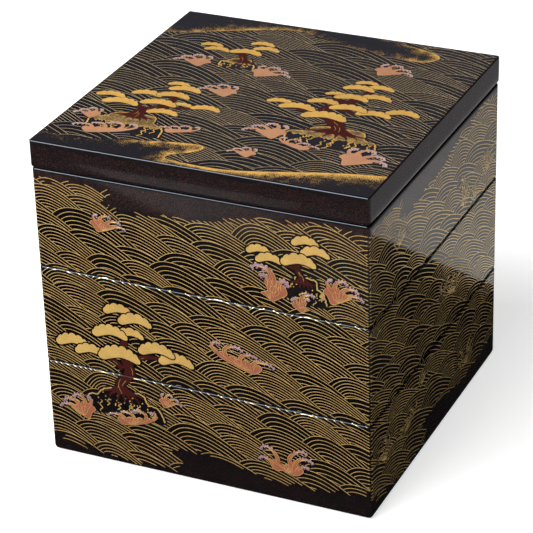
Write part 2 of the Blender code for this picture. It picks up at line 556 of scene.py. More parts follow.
Powder = namedtuple("Powder", "slot ground bright thin metallic shine", defaults=(0.5,))
POWDERS = {
    "gold_line": Powder("gold_line", (0.86, 0.57, 0.185), (1.00, 0.745, 0.30), (0.53, 0.30, 0.08), 0.62),
    "lid_line": Powder("gold_line", (0.50, 0.37, 0.18), (0.70, 0.53, 0.28), (0.30, 0.21, 0.10), 0.2),
    "mist_gold": Powder("gold_leaf", (0.70, 0.38, 0.08), (0.82, 0.46, 0.10), (0.32, 0.16, 0.04), 0.2),
    "needle_line": Powder("gold_leaf", (0.42, 0.22, 0.05), (0.52, 0.30, 0.09), (0.32, 0.16, 0.04), 0.2),
    "moss_gold": Powder("gold_leaf", (0.26, 0.17, 0.06), (0.66, 0.42, 0.12), (0.09, 0.055, 0.025), 0.2),
    "gold_ground": Powder("gold_leaf", (0.68, 0.42, 0.11), (0.84, 0.57, 0.18), (0.50, 0.29, 0.07), 0.3),
    "maroon": Powder(
        "maroon_lacquer", (0.047, 0.006, 0.004), (0.072, 0.010, 0.007), (0.025, 0.003, 0.003), 0.0, 0.12,
    ),
    "coral": Powder("coral_lacquer", (0.36, 0.10, 0.045), (0.50, 0.19, 0.08), (0.25, 0.06, 0.03), 0.1),
    "lilac": Powder("lilac_lacquer", (0.30, 0.17, 0.25), (0.42, 0.29, 0.37), (0.20, 0.10, 0.15), 0.1),
    "lid_gold": Powder("gold_leaf", (0.78, 0.44, 0.09), (0.92, 0.58, 0.16), (0.55, 0.29, 0.06), 0.3),
    "lid_coral": Powder("coral_lacquer", (0.48, 0.22, 0.11), (0.62, 0.33, 0.17), (0.35, 0.15, 0.08), 0.1),
    "lid_lilac": Powder("lilac_lacquer", (0.48, 0.33, 0.31), (0.60, 0.45, 0.42), (0.37, 0.24, 0.22), 0.1),
}
GRAIN_CHANGES = {
    "moss_gold": {"Grain Size": 0.0009, "Drift Size": 0.003, "Thin Share": 0.9},
    "gold_line": {"Smooth": 0.24, "Rough": 0.42, "Side Polish": 0.8},
}


def powder_material(name, powder_name, changes=None):
    """The material of one powder. changes gives other values to some of the group's inputs."""
    powder = POWDERS[powder_name]
    values = {
        "Ground": (*powder.ground, 1.0),
        "Bright Grain": (*powder.bright, 1.0),
        "Thin Spot": (*powder.thin, 1.0),
        **GRAIN_CHANGES.get(powder_name, {}),
        **(changes or {}),
    }
    sockets = {"Metallic": powder.metallic, "Specular IOR Level": powder.shine}
    return finished_material(name, SPRINKLED_POWDER, values, POWDER_RELIEF, sockets)


POWDER_MATERIALS = {name: powder_material(name + "_powder", name) for name in POWDERS}


def glinting_gold(name, top):
    """The lines' gold, smoother and painted paler where it runs over a tier's shoulder just under a height: a
    painted highlight.
    """
    glint_span = {"Glint Begins": (top - GLINT_FROM) * MM, "Glint Ends": (top - GLINT_FULLY) * MM}
    return powder_material(name + "_gold_line", "gold_line", glint_span)


print("powders:", ", ".join(POWDERS))

# %% [markdown]
# ## The rough-sea pattern
# The pattern is made of fans. Each fan is a set of nested lines that curl up steeply on the left,
# crest, and run down to the right in long tails. Fans in front hide those behind. Drawing from the
# front to the back makes that simple: a floating horizon keeps the highest edge drawn so far, and a
# new line only shows where it rises above it.

# %% One fan of waves
SAMPLE = 0.15          # spacing of the points along a line, before it is thinned out
LINES_PER_FAN = 15
CREST_DRIFT = 0.25     # how far each line's crest lies to the right of the one outside it
CURL_POWER = 2.4       # how suddenly the left side curls up
CURL_GROWTH = 0.30     # inner lines curl up more steeply, by this share for each line
BEND_LOSS = 0.03       # their crests are rounder
SLOPE_LOSS = 0.012     # and their tails are flatter

Fan = namedtuple("Fan", "x y curl slope bend step")


def fan_line(fan, across, number):
    """Height of a fan's line over every place across. Line 0 is the outer one."""
    away = across - fan.x - CREST_DRIFT * number
    curl = fan.curl * (1.0 + CURL_GROWTH * number) * np.abs(away) ** CURL_POWER
    bend = fan.bend * (1.0 - BEND_LOSS * number)
    ahead = np.maximum(away, 0.0)
    fall = fan.slope * (1.0 - SLOPE_LOSS * number) * (ahead - bend * (1.0 - np.exp(-ahead / bend)))
    return fan.y - fan.step * number - np.where(away < 0.0, curl, fall)


def runs_of(shown):
    """First and past-the-last index of each unbroken run of True."""
    edges = np.flatnonzero(np.diff(np.concatenate([[0], shown.astype(np.int8), [0]])))
    return zip(edges[::2], edges[1::2])


# %% A rough sea of fans
def wave_lines(seed, left, right, low, high, pitch, rise, line_gap, spread):
    """All visible lines of a rough sea that fills a rectangle. Some fans are drawn finer than others."""
    rng = np.random.default_rng(seed)
    across = np.arange(left, right, SAMPLE)
    horizon = np.full(len(across), low - 1.0)
    lines = []
    for level in np.arange(low - rise, high + 1.6 * rise, rise):
        swell = rng.uniform(0.0, 2.0 * np.pi)
        swell_length = rng.uniform(4.0, 7.0) * pitch
        x = left - 3.0 * pitch + rng.uniform(0.0, pitch)
        while x < right + pitch:
            size = rng.uniform(0.70, 1.36)
            lift = 0.2 * rise * math.sin(2.0 * math.pi * x / swell_length + swell)
            fan = Fan(
                x=x,
                y=level + lift + rng.uniform(-0.13, 0.13) * rise,
                curl=rng.uniform(0.24, 0.34) / (pitch * size),
                slope=rng.uniform(0.58, 0.88),
                bend=rng.uniform(0.50, 0.64) * pitch * size,
                step=line_gap * rng.uniform(1.0 - spread, 1.0 + 0.7 * spread),
            )
            for number in range(LINES_PER_FAN):
                height = fan_line(fan, across, number)
                shown = (height > horizon) & (height > low) & (height < high)
                for first, last in runs_of(shown):
                    lines.append(np.stack([across[first:last], height[first:last]], axis=1))
            horizon = np.maximum(horizon, fan_line(fan, across, 0))
            x += pitch * size
    return lines


print("a fan has up to", LINES_PER_FAN, "lines")

# %% [markdown]
# ## Outlines and cuts
# Lines stop a hair's breadth outside every figure, which leaves the thin black edge that real gold
# drawing has, and they run out raggedly where the sea gives way to bare lacquer. So each figure is
# an outline first: a smooth curve through a few points, which can be grown by a margin and asked
# which points lie inside it. Blender could cut curves with booleans, but thousands of lines are
# quicker and steadier to cut as plain lists of points.

# %% Smooth curves and margins
def smooth_curve(points, gap=1.2, closed=False):
    """A Catmull-Rom curve through a few points, sampled about every gap millimetres."""
    points = np.array(points, float)
    if closed:
        points = np.concatenate([points[-1:], points, points[:2]])
    else:
        points = np.concatenate([2 * points[:1] - points[1:2], points, 2 * points[-1:] - points[-2:-1]])
    found = []
    for before, start, end, after in zip(points, points[1:], points[2:], points[3:]):
        count = max(2, int(np.linalg.norm(end - start) / gap))
        t = (np.arange(count) / count)[:, None]
        found.append(
            0.5 * (2 * start + (end - before) * t + (2 * before - 5 * start + 4 * end - after) * t**2
                   + (3 * start - before - 3 * end + after) * t**3)
        )
    if not closed:
        found.append(points[-2:-1])
    return np.concatenate(found)


def side_steps(line, closed=False):
    """At each point, the unit vector to the left of the line's direction."""
    if closed:
        ahead = np.roll(line, -1, axis=0) - np.roll(line, 1, axis=0)
    else:
        ahead = np.gradient(line, axis=0)
    ahead /= np.maximum(np.linalg.norm(ahead, axis=1, keepdims=True), 1e-9)
    return np.stack([-ahead[:, 1], ahead[:, 0]], axis=1)


def signed_area(outline):
    """The outline's area, more than 0 if it runs counter-clockwise."""
    x, y = outline.T
    return 0.5 * float(np.sum(x * np.roll(y, -1) - y * np.roll(x, -1)))


def grown(outline, margin):
    """The outline moved outwards by a margin."""
    outward = -side_steps(outline, closed=True) * (1.0 if signed_area(outline) > 0 else -1.0)
    return outline + margin * outward


print("curves ready")


# %% Cut lines with outlines
SHORTEST_LINE = 0.9


def length_of(line):
    return float(np.linalg.norm(np.diff(line, axis=0), axis=1).sum())


def inside(points, outline):
    """Which points lie inside an outline, by counting the edges that a ray to the right crosses."""
    found = np.zeros(len(points), bool)
    low, high = outline.min(axis=0), outline.max(axis=0)
    near = np.flatnonzero(((points > low) & (points < high)).all(axis=1))
    if not len(near):
        return found
    x, y = points[near, 0][:, None], points[near, 1][:, None]
    start, end = outline, np.roll(outline, -1, axis=0)
    spans = (start[:, 1] > y) != (end[:, 1] > y)
    rise = np.where(np.abs(end[:, 1] - start[:, 1]) < 1e-12, 1e-12, end[:, 1] - start[:, 1])
    crossing = start[:, 0] + (y - start[:, 1]) * (end[:, 0] - start[:, 0]) / rise
    found[near] = (spans & (x < crossing)).sum(axis=1) % 2 == 1
    return found


def cut_lines(lines, outlines, keep_inside=False, ragged=0.0, seed=0):
    """The parts of the lines outside all the outlines. ragged shifts each line's cut by up to that."""
    if not lines:
        return []
    rng = np.random.default_rng(seed)
    counts = [len(line) for line in lines]
    points = np.concatenate(lines)
    shifts = np.repeat(rng.uniform(-ragged, ragged, (len(lines), 2)), counts, axis=0)
    covered = np.zeros(len(points), bool)
    for outline in outlines:
        covered |= inside(points + shifts, outline)
    if keep_inside:
        covered = ~covered
    kept = []
    for line, hidden in zip(lines, np.split(covered, np.cumsum(counts)[:-1])):
        for first, last in runs_of(~hidden):
            piece = line[first:last]
            if len(piece) > 2 and length_of(piece) > SHORTEST_LINE:
                kept.append(piece)
    return kept


print(f"lines shorter than {SHORTEST_LINE} mm are left out")

# %% [markdown]
# ## A picture, and brush strokes
# A picture is a list of films, which are filled outlines in painter's order, and a list of drawn
# lines. A film with no powder is bare black lacquer: it only keeps the sea out. A later film covers
# what was drawn before it, as a later coat does on the box. The figures are the usual ones of such
# boxes: pines on rocks, and breaking foam. Each is made by a few strokes of its own kind.

# %% A picture, and brush strokes
Film = namedtuple("Film", "powder outline")
Stroke = namedtuple("Stroke", "line width films_before powder")


class Picture:
    """What is painted on one face, in millimetres."""

    def __init__(self):
        self.films = []
        self.strokes = []
        self.keep_out = []

    def fill(self, powder, outline, margin=0.0):
        """Adds a film, and keeps the sea out of it and of a margin around it."""
        self.films.append(Film(powder, outline))
        self.keep_out.append(grown(outline, margin) if margin else outline)

    def draw(self, line, width, powder="gold_line"):
        """Adds a drawn line over the films so far."""
        self.strokes.append(Stroke(np.array(line, float), width, len(self.films), powder))

    def drawn_lines(self):
        """The strokes, less what later films cover, each with its width and its powder."""
        found = []
        for stroke in self.strokes:
            later = [film.outline for film in self.films[stroke.films_before:]]
            for line in cut_lines([stroke.line], later):
                found.append((line, stroke.width, stroke.powder))
        return found


def spread_along(widths, count):
    """Widths given at even places along a stroke, spread over more places."""
    return np.interp(np.linspace(0.0, 1.0, count), np.linspace(0.0, 1.0, len(widths)), widths)


def brush_outline(line, widths):
    """The outline of a stroke whose width changes from one end to the other."""
    line = np.array(line, float)
    half = spread_along(widths, len(line))[:, None] / 2.0
    side = side_steps(line)
    return np.concatenate([line + side * half, (line - side * half)[::-1]])


def ring(count):
    """Points at even turns round a circle of radius 1."""
    turn = np.linspace(0.0, 2.0 * np.pi, count + 1)[:-1]
    return np.stack([np.cos(turn), np.sin(turn)], axis=1)


print("a picture's parts:", ", ".join(Film._fields + Stroke._fields))

# %% [markdown]
# ## Pines
# A painted pine has a winding dark red trunk, roots that grip the rock like claws, and flat pads of
# needles filled with gold. Each pad is one scalloped cloud with a bare edge, so that pads in front
# stand out from those behind. Rows of small scallops in browner gold stand for the needles. The
# trunk is one brush stroke whose width changes, with a few short gold touches on its bark.

# %% Needle pads
CONTOUR = 0.42         # width of the gold drawing on the figures
SCALLOP = 3.2          # width of one scallop on a pad's edge
SCALLOP_POINTS = 8
PAD_FOOT = [(0.485, -0.045), (0.40, -0.06), (0.24, -0.005), (0.02, 0.02), (-0.18, -0.035), (-0.37, -0.105),
            (-0.47, -0.075)]
NEEDLE_ROWS = ((-0.02, 0.36), (0.07, 0.30), (0.15, 0.20))       # height and half length, by a pad's width


def scallops_on(width):
    return max(5, round(width / SCALLOP))


def pad_outline(x, y, width):
    """A needle pad: a low scalloped cloud with a blunt left end, a hollow foot and a thin right end."""
    bumps = scallops_on(width)
    turn = np.linspace(np.pi, 0.0, bumps * SCALLOP_POINTS + 1)
    scallop = 0.062 * np.sqrt(np.sin(turn).clip(0.0)) * np.abs(np.sin(bumps * turn)) ** 0.6
    top = np.stack([0.5 * np.cos(turn), 0.275 * np.sin(turn) ** 1.25 + scallop - 0.02], axis=1)
    foot = smooth_curve(PAD_FOOT, 0.05)
    return np.array([x, y - 0.10 * width]) + width * np.concatenate([top, foot])


def paint_pads(picture, pads, edge):
    """Needle pads with a bare edge round them, and rows of small scallops in a browner gold."""
    for x, y, width in pads:
        outline = pad_outline(x, y, width)
        picture.fill(None, grown(outline, edge))
        picture.fill("gold_ground", outline)
        shade = grown(outline, -0.3)[scallops_on(width) * SCALLOP_POINTS + 1:]
        picture.draw(shade, 0.4, "needle_line")
        for low, reach in NEEDLE_ROWS:
            count = max(2, round(2.0 * reach * width / 2.7))
            for number in range(count):
                middle = (2.0 * (number + 0.5) / count - 1.0) * reach
                turn = np.linspace(0.15, np.pi - 0.15, 7)
                scallop = np.stack([np.cos(turn), 0.8 * np.sin(turn)], axis=1) * reach / count * 0.92
                rise = low - 0.10 + 0.04 * math.cos(3.0 * middle / reach)
                picture.draw([x, y] + width * (scallop + [middle, rise]), 0.26, "needle_line")


print("rows of needles on a pad:", len(NEEDLE_ROWS))

# %% Trunk, branches and roots
TOUCH_POINTS = 7
# Each root's reach to the side and downwards, as shares of the spread and the depth.
ROOTS = ((-1.0, 0.45), (-0.62, 0.62), (-0.25, 1.0), (0.12, 0.9), (0.5, 1.0), (0.8, 0.7), (1.0, 0.35))


def paint_trunk(picture, line, widths, touches=()):
    """A trunk or branch, with short gold touches at (share along, share across)."""
    spine = smooth_curve(line, 0.9)
    picture.fill("maroon", brush_outline(spine, widths), 0.3)
    half = spread_along(widths, len(spine))[:, None] / 2.0
    for along, across in touches:
        first = int(along * (len(spine) - TOUCH_POINTS))
        touch = (spine + side_steps(spine) * half * across)[first:first + TOUCH_POINTS]
        sway = 0.35 * np.sin(np.linspace(0.0, 5.0, len(touch)))
        picture.draw(touch + np.stack([sway, 0.0 * sway], axis=1), 1.6 * CONTOUR)


def paint_roots(picture, x, y, thickness, spread, depth):
    """Roots that splay out like claws over the rock from a trunk's foot."""
    widths = (0.55 * thickness, 0.3 * thickness, 0.6)
    for share, drop in ROOTS:
        claw = [(x + 0.25 * share * thickness, y + 0.35 * thickness),
                (x + 0.50 * share * spread, y - 0.25 * drop * depth),
                (x + 0.86 * share * spread, y - 0.62 * drop * depth),
                (x + share * spread, y - drop * depth)]
        picture.fill("maroon", brush_outline(smooth_curve(claw, 0.8), widths), 0.2)


Pine = namedtuple("Pine", "roots trunk branches pads edge")


def paint_pine(picture, pine):
    """Roots first, then the trunk and its branches, and the pads over them."""
    paint_roots(picture, *pine.roots)
    for wood in (pine.trunk, *pine.branches):
        paint_trunk(picture, *wood)
    paint_pads(picture, pine.pads, pine.edge)


print("roots at a trunk's foot:", len(ROOTS))

# %% [markdown]
# ## Rocks
# The rocks are left black, with a thick gold edge and a few gold wrinkles and dots of moss. On the
# lid the upper part of each is sprinkled with coarse gold. One profile, stretched and broken up with
# a seeded random jitter, gives every rock a shape of its own and the same one on each run.

# %% Rocks
ROCK_PROFILE = [(-0.44, -0.50), (-0.50, -0.20), (-0.48, 0.05), (-0.36, 0.14), (-0.27, 0.40), (-0.10, 0.50),
                (0.10, 0.48), (0.23, 0.42), (0.29, 0.10), (0.40, 0.02), (0.46, -0.20), (0.50, -0.50)]


def rock_edge(x, y, width, height, seed):
    """The upper edge of a rock from its left foot to its right one, broken up like stone."""
    edge = np.array([x, y]) + smooth_curve(ROCK_PROFILE, 0.02) * [width, height]
    edge = edge[:: max(1, len(edge) // int(1.1 * (width + height)))]
    return edge + np.random.default_rng(seed).uniform(-0.45, 0.45, edge.shape)


def paint_rock(picture, x, y, width, height, seed, crown=None):
    """A black rock with a thick gold edge, gold wrinkles and moss dots, and a gold crown if asked for."""
    rng = np.random.default_rng(seed)
    edge = rock_edge(x, y, width, height, seed)
    picture.fill(None, edge, 1.3)
    if crown is not None:
        level = y + crown * height
        top = edge[edge[:, 1] > level]
        foot = np.stack([np.linspace(top[-1, 0], top[0, 0], 26)[1:-1], np.full(24, level)], axis=1)
        foot[::2, 1] -= 0.12 * height * rng.uniform(0.4, 1.0, 12)
        mossy = np.concatenate([top, foot])
        picture.fill("moss_gold", mossy)
        for _ in range(int(1.6 * width)):
            start = np.array([x, level]) + rng.uniform((-0.45, -0.05), (0.42, 0.5)) * [width, height]
            tuft = smooth_curve([start, start + [0.9, 0.7], start + [2.0, 0.5]], 0.3)
            for line in cut_lines([tuft], [mossy], keep_inside=True):
                picture.draw(line, 0.5, "needle_line")
        picture.draw(foot, 1.2 * CONTOUR)
    picture.draw(edge, 2.7 * CONTOUR)
    for _ in range(int(width / 4.5)):
        reach = rng.uniform(0.30, 0.55) * height
        top = np.array([x, y]) + rng.uniform((-0.42, -0.2), (0.38, 0.1)) * [width, height]
        t = np.linspace(0.0, 1.0, 14)
        crack = np.stack([0.9 * np.sin(12.0 * t) + 1.6 * t * rng.uniform(-1, 1), -reach * t], axis=1)
        picture.draw(top + crack, 1.7 * CONTOUR)
    for _ in range(int(width / 1.6)):
        dot = np.array([x, y]) + rng.uniform((-0.44, -0.35), (0.44, 0.25)) * [width, height]
        picture.fill("gold_ground", dot + rng.uniform(0.3, 0.5) * ring(6))


print("points of the rocks' profile:", len(ROCK_PROFILE))

# %% [markdown]
# ## Breaking foam
# Where waves break, the painter sets a burst of coral foam: a body with a pointed foot, and arms that
# curl over and end in claws and a frilled lilac crest. Four kinds of burst, each a body and a few
# arms on a square of side 1, are turned, stretched and placed to make them all.

# %% The four kinds of burst
Burst = namedtuple("Burst", "body arms")      # each arm is its line and its widths along it
STOUT = (0.15, 0.13, 0.10, 0.08, 0.05)
SLIM = (0.14, 0.12, 0.10, 0.08, 0.05)
FLAT = (0.13, 0.11, 0.09, 0.07, 0.05)
SMALL = (0.11, 0.10, 0.08, 0.05)

BURSTS = {
    "arching": Burst(
        [(-0.16, 0.06), (-0.04, 0.14), (0.06, 0.20), (0.14, 0.02), (0.28, 0.04), (0.38, -0.06), (0.42, -0.24),
         (0.24, -0.38), (0.04, -0.50), (-0.10, -0.40), (-0.26, -0.31), (-0.08, -0.22), (-0.12, -0.06)],
        [([(0.06, -0.10), (0.07, 0.14), (-0.02, 0.34), (-0.18, 0.42), (-0.36, 0.44), (-0.50, 0.34)],
          (0.18, 0.16, 0.13, 0.10, 0.08, 0.05)),
         ([(0.00, -0.04), (-0.06, 0.12), (-0.17, 0.21), (-0.29, 0.14)], (0.12, 0.10, 0.08, 0.05)),
         ([(0.20, -0.18), (0.22, 0.02), (0.31, 0.14), (0.42, 0.08), (0.46, -0.04)], SLIM)],
    ),
    "sweeping": Burst(
        [(-0.22, -0.14), (-0.10, -0.02), (0.04, 0.04), (0.12, 0.20), (0.26, 0.20), (0.40, 0.10),
         (0.48, -0.08), (0.38, -0.20), (0.28, -0.50), (0.08, -0.40), (-0.08, -0.26)],
        [([(0.20, 0.06), (0.18, 0.30), (0.08, 0.44), (-0.06, 0.44), (-0.12, 0.30)], STOUT),
         ([(0.06, -0.02), (-0.04, 0.14), (-0.18, 0.22), (-0.32, 0.18), (-0.38, 0.05)], STOUT),
         ([(-0.06, -0.14), (-0.20, -0.04), (-0.34, -0.04), (-0.46, -0.12), (-0.50, -0.24)], FLAT),
         ([(0.30, 0.04), (0.38, 0.26), (0.34, 0.42), (0.24, 0.44)], (0.12, 0.10, 0.08, 0.05))],
    ),
    "rolling": Burst(
        [(-0.46, 0.16), (-0.40, 0.10), (-0.32, 0.12), (-0.26, -0.02), (-0.14, 0.04), (-0.06, -0.08),
         (0.06, -0.04), (0.14, -0.16), (0.26, -0.14), (0.30, -0.28), (0.18, -0.50), (0.00, -0.42),
         (-0.20, -0.26), (-0.38, -0.06)],
        [([(-0.40, 0.04), (-0.49, 0.26), (-0.44, 0.44), (-0.34, 0.40)], (0.12, 0.11, 0.09, 0.05)),
         ([(-0.26, -0.04), (-0.28, 0.24), (-0.17, 0.40), (-0.04, 0.36), (0.00, 0.24)], SLIM),
         ([(-0.06, -0.12), (0.00, 0.12), (0.12, 0.20), (0.24, 0.12)], (0.13, 0.11, 0.09, 0.05)),
         ([(0.12, -0.22), (0.22, -0.02), (0.34, 0.00), (0.44, -0.06), (0.50, -0.17)], FLAT)],
    ),
    "clashing": Burst(
        [(-0.24, -0.04), (-0.12, -0.12), (0.00, -0.20), (0.06, -0.08), (0.16, 0.04), (0.24, -0.10),
         (0.30, -0.30), (0.16, -0.50), (-0.04, -0.40), (-0.20, -0.44), (-0.30, -0.20)],
        [([(-0.14, -0.14), (-0.18, 0.12), (-0.28, 0.34), (-0.40, 0.38), (-0.46, 0.24)], FLAT),
         ([(-0.20, -0.26), (-0.32, -0.08), (-0.44, -0.04), (-0.50, -0.15)], SMALL),
         ([(0.08, -0.16), (0.06, 0.12), (0.16, 0.36), (0.28, 0.46), (0.38, 0.36)],
          (0.13, 0.11, 0.09, 0.08, 0.05)),
         ([(0.14, -0.10), (0.24, 0.14), (0.38, 0.20), (0.49, 0.08)], SMALL),
         ([(0.18, -0.26), (0.30, -0.10), (0.42, -0.13)], (0.10, 0.08, 0.05))],
    ),
}
print("bursts:", ", ".join(BURSTS))


# %% An arm of foam
CLAWS_AT = (0.60, 0.80, 0.98)                        # shares of the arm's length
KNOBS = ((0.42, 0.36), (0.56, 0.48), (0.70, 0.40), (0.84, 0.50), (0.99, 0.46))       # place, radius
CREST_THINNING = (0.3, 0.5, 0.6, 0.7, 0.8, 0.9, 1.0)


def part_of(line, widths, start, end):
    """A stretch of a stroke, between two shares of its length, with its widths."""
    share = np.linspace(0.0, 1.0, len(line))
    kept = (share >= start - 1e-6) & (share <= end + 1e-6)
    places = np.linspace(start, end, len(CREST_THINNING))
    return line[kept], np.interp(places, np.linspace(0.0, 1.0, len(widths)), widths)


def paint_claw(picture, fill, at, shift, outer, size, line):
    """One claw that hangs under an arm, near its tip."""
    ahead = (line[at] - line[at - 1]) / np.linalg.norm(line[at] - line[at - 1])
    root = line[at] - 0.5 * shift[at]
    tip = root - outer[at] * 0.7 * size + ahead * 0.5 * size
    claw = smooth_curve([line[at], root - 0.2 * size * outer[at], tip], 0.4)
    picture.fill(fill, brush_outline(claw, (0.7 * size, 0.62 * size, 0.45 * size)), 0.2)


def paint_arm(picture, line, widths, fills, contour):
    """An arm of foam that curls over: claws under its tip, a body, and a frilled lilac crest."""
    body_fill, claw_fill = fills
    outer = side_steps(line) * (1.0 if line[-1, 0] > line[0, 0] else -1.0)
    size = 0.36 + 0.36 * max(widths)
    thick = spread_along(widths, len(line))
    shift = thick[:, None] * outer
    for share in CLAWS_AT:
        paint_claw(picture, claw_fill, int(share * (len(line) - 2)) + 1, shift, outer, size, line)
    stretch, stretch_widths = part_of(line, widths, 0.0, 0.85)
    picture.fill(body_fill, brush_outline(stretch, stretch_widths), 0.2)
    crest, crest_widths = part_of(line + 0.2 * shift, widths, 0.5, 1.0)
    picture.fill(claw_fill, brush_outline(crest, crest_widths * CREST_THINNING), 0.2)
    for share, radius in KNOBS:
        at = int(share * (len(line) - 2)) + 1
        centre = line[at] + 0.42 * shift[at]
        picture.fill(claw_fill, centre + size * radius * ring(10), 0.3)
        if contour:
            rim = centre + (size * radius + 0.05) * ring(10)
            picture.draw(rim[(rim - line[at]) @ outer[at] > 0.30 * thick[at]], contour)
    if contour:
        last = len(line)
        picture.draw((line - 0.26 * shift)[int(0.42 * last): int(0.98 * last)], 0.8 * contour)
        picture.draw((line + 0.5 * shift)[: int(0.45 * last)], 1.2 * contour)
        picture.draw((line - 0.5 * shift)[: int(0.66 * last)], 1.2 * contour)
        picture.draw((line - 0.05 * shift)[int(0.10 * last): int(0.75 * last)], contour)


print("claws and knobs on an arm:", len(CLAWS_AT), len(KNOBS))


# %% A whole burst of foam
FOAM_CONTOUR = 0.52
SWIRL_TURNS = np.linspace(math.radians(-90.0), math.radians(400.0), 30)
SPRAY_AT = np.linspace(-0.46, 0.34, 7)      # where the lines that run down to the foot begin


def draw_swirl(picture, centre, size, lean, contour):
    """A coil in the middle of the body."""
    coil = np.stack([lean * np.cos(SWIRL_TURNS), np.sin(SWIRL_TURNS)], axis=1)
    picture.draw(centre + (size * np.linspace(1.0, 0.25, len(coil)))[:, None] * coil, contour)


def paint_foam(picture, kind, x, y, width, height, lean, coloured=True, contour=FOAM_CONTOUR):
    """A burst of foam over a body with a pointed foot. lean is 1 to the right and -1 to the left."""
    fills = ("coral", "lilac") if coloured else (None, None)
    scale = np.array([lean * width, height])
    place = np.array([x, y])
    burst = BURSTS[kind]
    body = smooth_curve(place + np.array(burst.body) * scale, 0.7, closed=True)
    if coloured:
        picture.fill(fills[0], body, 0.3)
    if contour:
        picture.draw(np.concatenate([body, body[:1]]), contour)
    for spine, widths in burst.arms:
        line = smooth_curve(place + np.array(spine) * scale, 0.7)
        paint_arm(picture, line, [width * height for width in widths], fills, contour)
    if not contour:
        return
    draw_swirl(picture, place + (body.mean(axis=0) - place) * 1.05, 0.17 * height, lean, contour)
    foot = body[body[:, 1].argmin()]
    for along in SPRAY_AT:
        start = place + np.array([along, 0.22 - 0.45 * max(along, -0.1)]) * scale
        bend = 0.5 * (start + foot) + np.array([-0.07, -0.03]) * scale
        for line in cut_lines([smooth_curve([start, bend, foot], 0.5)], [body], keep_inside=True):
            picture.draw(line[: int(0.85 * len(line))], contour)


print(f"foam is drawn {FOAM_CONTOUR} mm wide")

# %% [markdown]
# ## What is painted on the sides
# Positions are millimetres on each side, from its middle and up from the table. The picture carries
# on across the joints, so it was painted with the tiers stacked. The front has two pines on rocks
# and coloured foam. The hidden sides are plainer: the same foam, drawn in gold line and no more.
# Two bands stay bare, one under the lid and one by the table, with the sea between them.

# %% Front picture
LEFT, RIGHT = -HALF - 1.0, HALF + 1.0
SIDE_TOP = LID_FOOT
SIDE_PAD_EDGE = 0.75

SIDE_BARE = [
    [(LEFT, 190), (LEFT, 172), (-72, 172), (-50, 170.5), (-56, 164), (-44, 160.5), (-17, 162.5),
     (3, 164), (19, 167.5), (35, 170), (50, 172), (75, 174), (RIGHT, 174), (RIGHT, 190)],
    [(LEFT, -10), (LEFT, 12), (-80, 7), (-44, 2.5), (-17.5, 4), (-15.5, 9), (-22, 15.5), (-16, 18.2),
     (-1, 19.4), (15, 16.3), (44, 12), (62.5, 11.3), (85, 13.8), (RIGHT, 16.3), (RIGHT, -10)],
]
# Each burst's kind, place across and up, width, height and lean.
SIDE_FOAM = [
    ("sweeping", -79.5, 33.3, 23.0, 15.0, 1), ("rolling", -45.5, 33.0, 31.0, 12.0, -1),
    ("sweeping", -21.3, 48.2, 14.0, 9.0, -1), ("arching", 41.6, 134.4, 22.0, 21.0, 1),
    ("arching", 60.0, 126.5, 14.0, 12.0, -1), ("sweeping", 82.6, 136.4, 23.0, 15.0, -1),
    ("sweeping", -53.4, 151.3, 21.9, 10.5, -1), ("rolling", 23.8, 85.0, 37.5, 16.0, 1),
    ("clashing", 47.8, 26.5, 33.0, 17.0, 1),
]
# Each rock's place, width, height and seed.
SIDE_ROCKS = [(-49.0, 41.5, 48.0, 16.0, 3), (62.0, 134.0, 23.0, 15.0, 5)]

LARGE_FRONT_PINE = Pine(
    roots=(-51.0, 49.0, 5.2, 13.0, 9.0),
    trunk=(
        [(-51.0, 46.5), (-52.2, 50), (-51.2, 54), (-46.8, 58.5), (-45.4, 63), (-47.4, 69), (-48.4, 75),
         (-47.6, 81), (-45, 91)],
        (5.8, 4.9, 5.3, 6.4, 5.6, 4.5, 3.9, 3.3, 2.4),
        [(0.10, 0.45), (0.16, -0.5), (0.36, -0.55), (0.02, 0.1)],
    ),
    branches=[
        ([(-49.5, 63), (-54.5, 67), (-61, 70), (-72, 71)], (3.2, 2.6, 1.6), [(0.2, 0.3)]),
        ([(-44, 68), (-40, 71.5), (-31.5, 74), (-20, 74)], (3.0, 2.4, 1.4), [(0.2, -0.3)]),
    ],
    pads=[(-16.3, 75.4, 21.5), (-43.5, 86.6, 16.3), (-50.4, 100, 18.0), (-80, 74.8, 20.9), (-69.6, 71, 18.5),
          (-56.3, 85, 21.9), (-28.1, 79.4, 22.2), (-40.4, 95.4, 20.6), (-51.3, 72, 26.0)],
    edge=SIDE_PAD_EDGE,
)
SMALL_FRONT_PINE = Pine(
    roots=(60.0, 139.0, 3.6, 7.0, 4.0),
    trunk=(
        [(60.0, 137.5), (59.6, 141), (57.0, 146), (58.5, 150), (62, 158)],
        (3.6, 2.8, 3.0, 2.6, 1.8), [(0.1, -0.3), (0.3, 0.3)],
    ),
    branches=[([(57.5, 146), (52, 146.5), (46, 147.5), (38, 151)], (2.2, 1.6, 1.0))],
    pads=[(61.9, 162.5, 15.6), (35.3, 153.2, 14.2), (67.3, 157.3, 16.6), (41, 149, 15.4),
          (57.8, 150.8, 20.2)],
    edge=SIDE_PAD_EDGE,
)


def side_picture(coloured):
    """The front's picture, or without colours that of the other sides."""
    picture = Picture()
    if coloured:
        for rock in SIDE_ROCKS:
            paint_rock(picture, *rock)
        for pine in (LARGE_FRONT_PINE, SMALL_FRONT_PINE):
            paint_pine(picture, pine)
    for foam in SIDE_FOAM:
        paint_foam(picture, *foam, coloured)
    return picture


front_picture = side_picture(coloured=True)
plain_picture = side_picture(coloured=False)
for name, picture in (("front", front_picture), ("plain sides", plain_picture)):
    print(f"{name}: {len(picture.films)} films and {len(picture.strokes)} drawn lines")

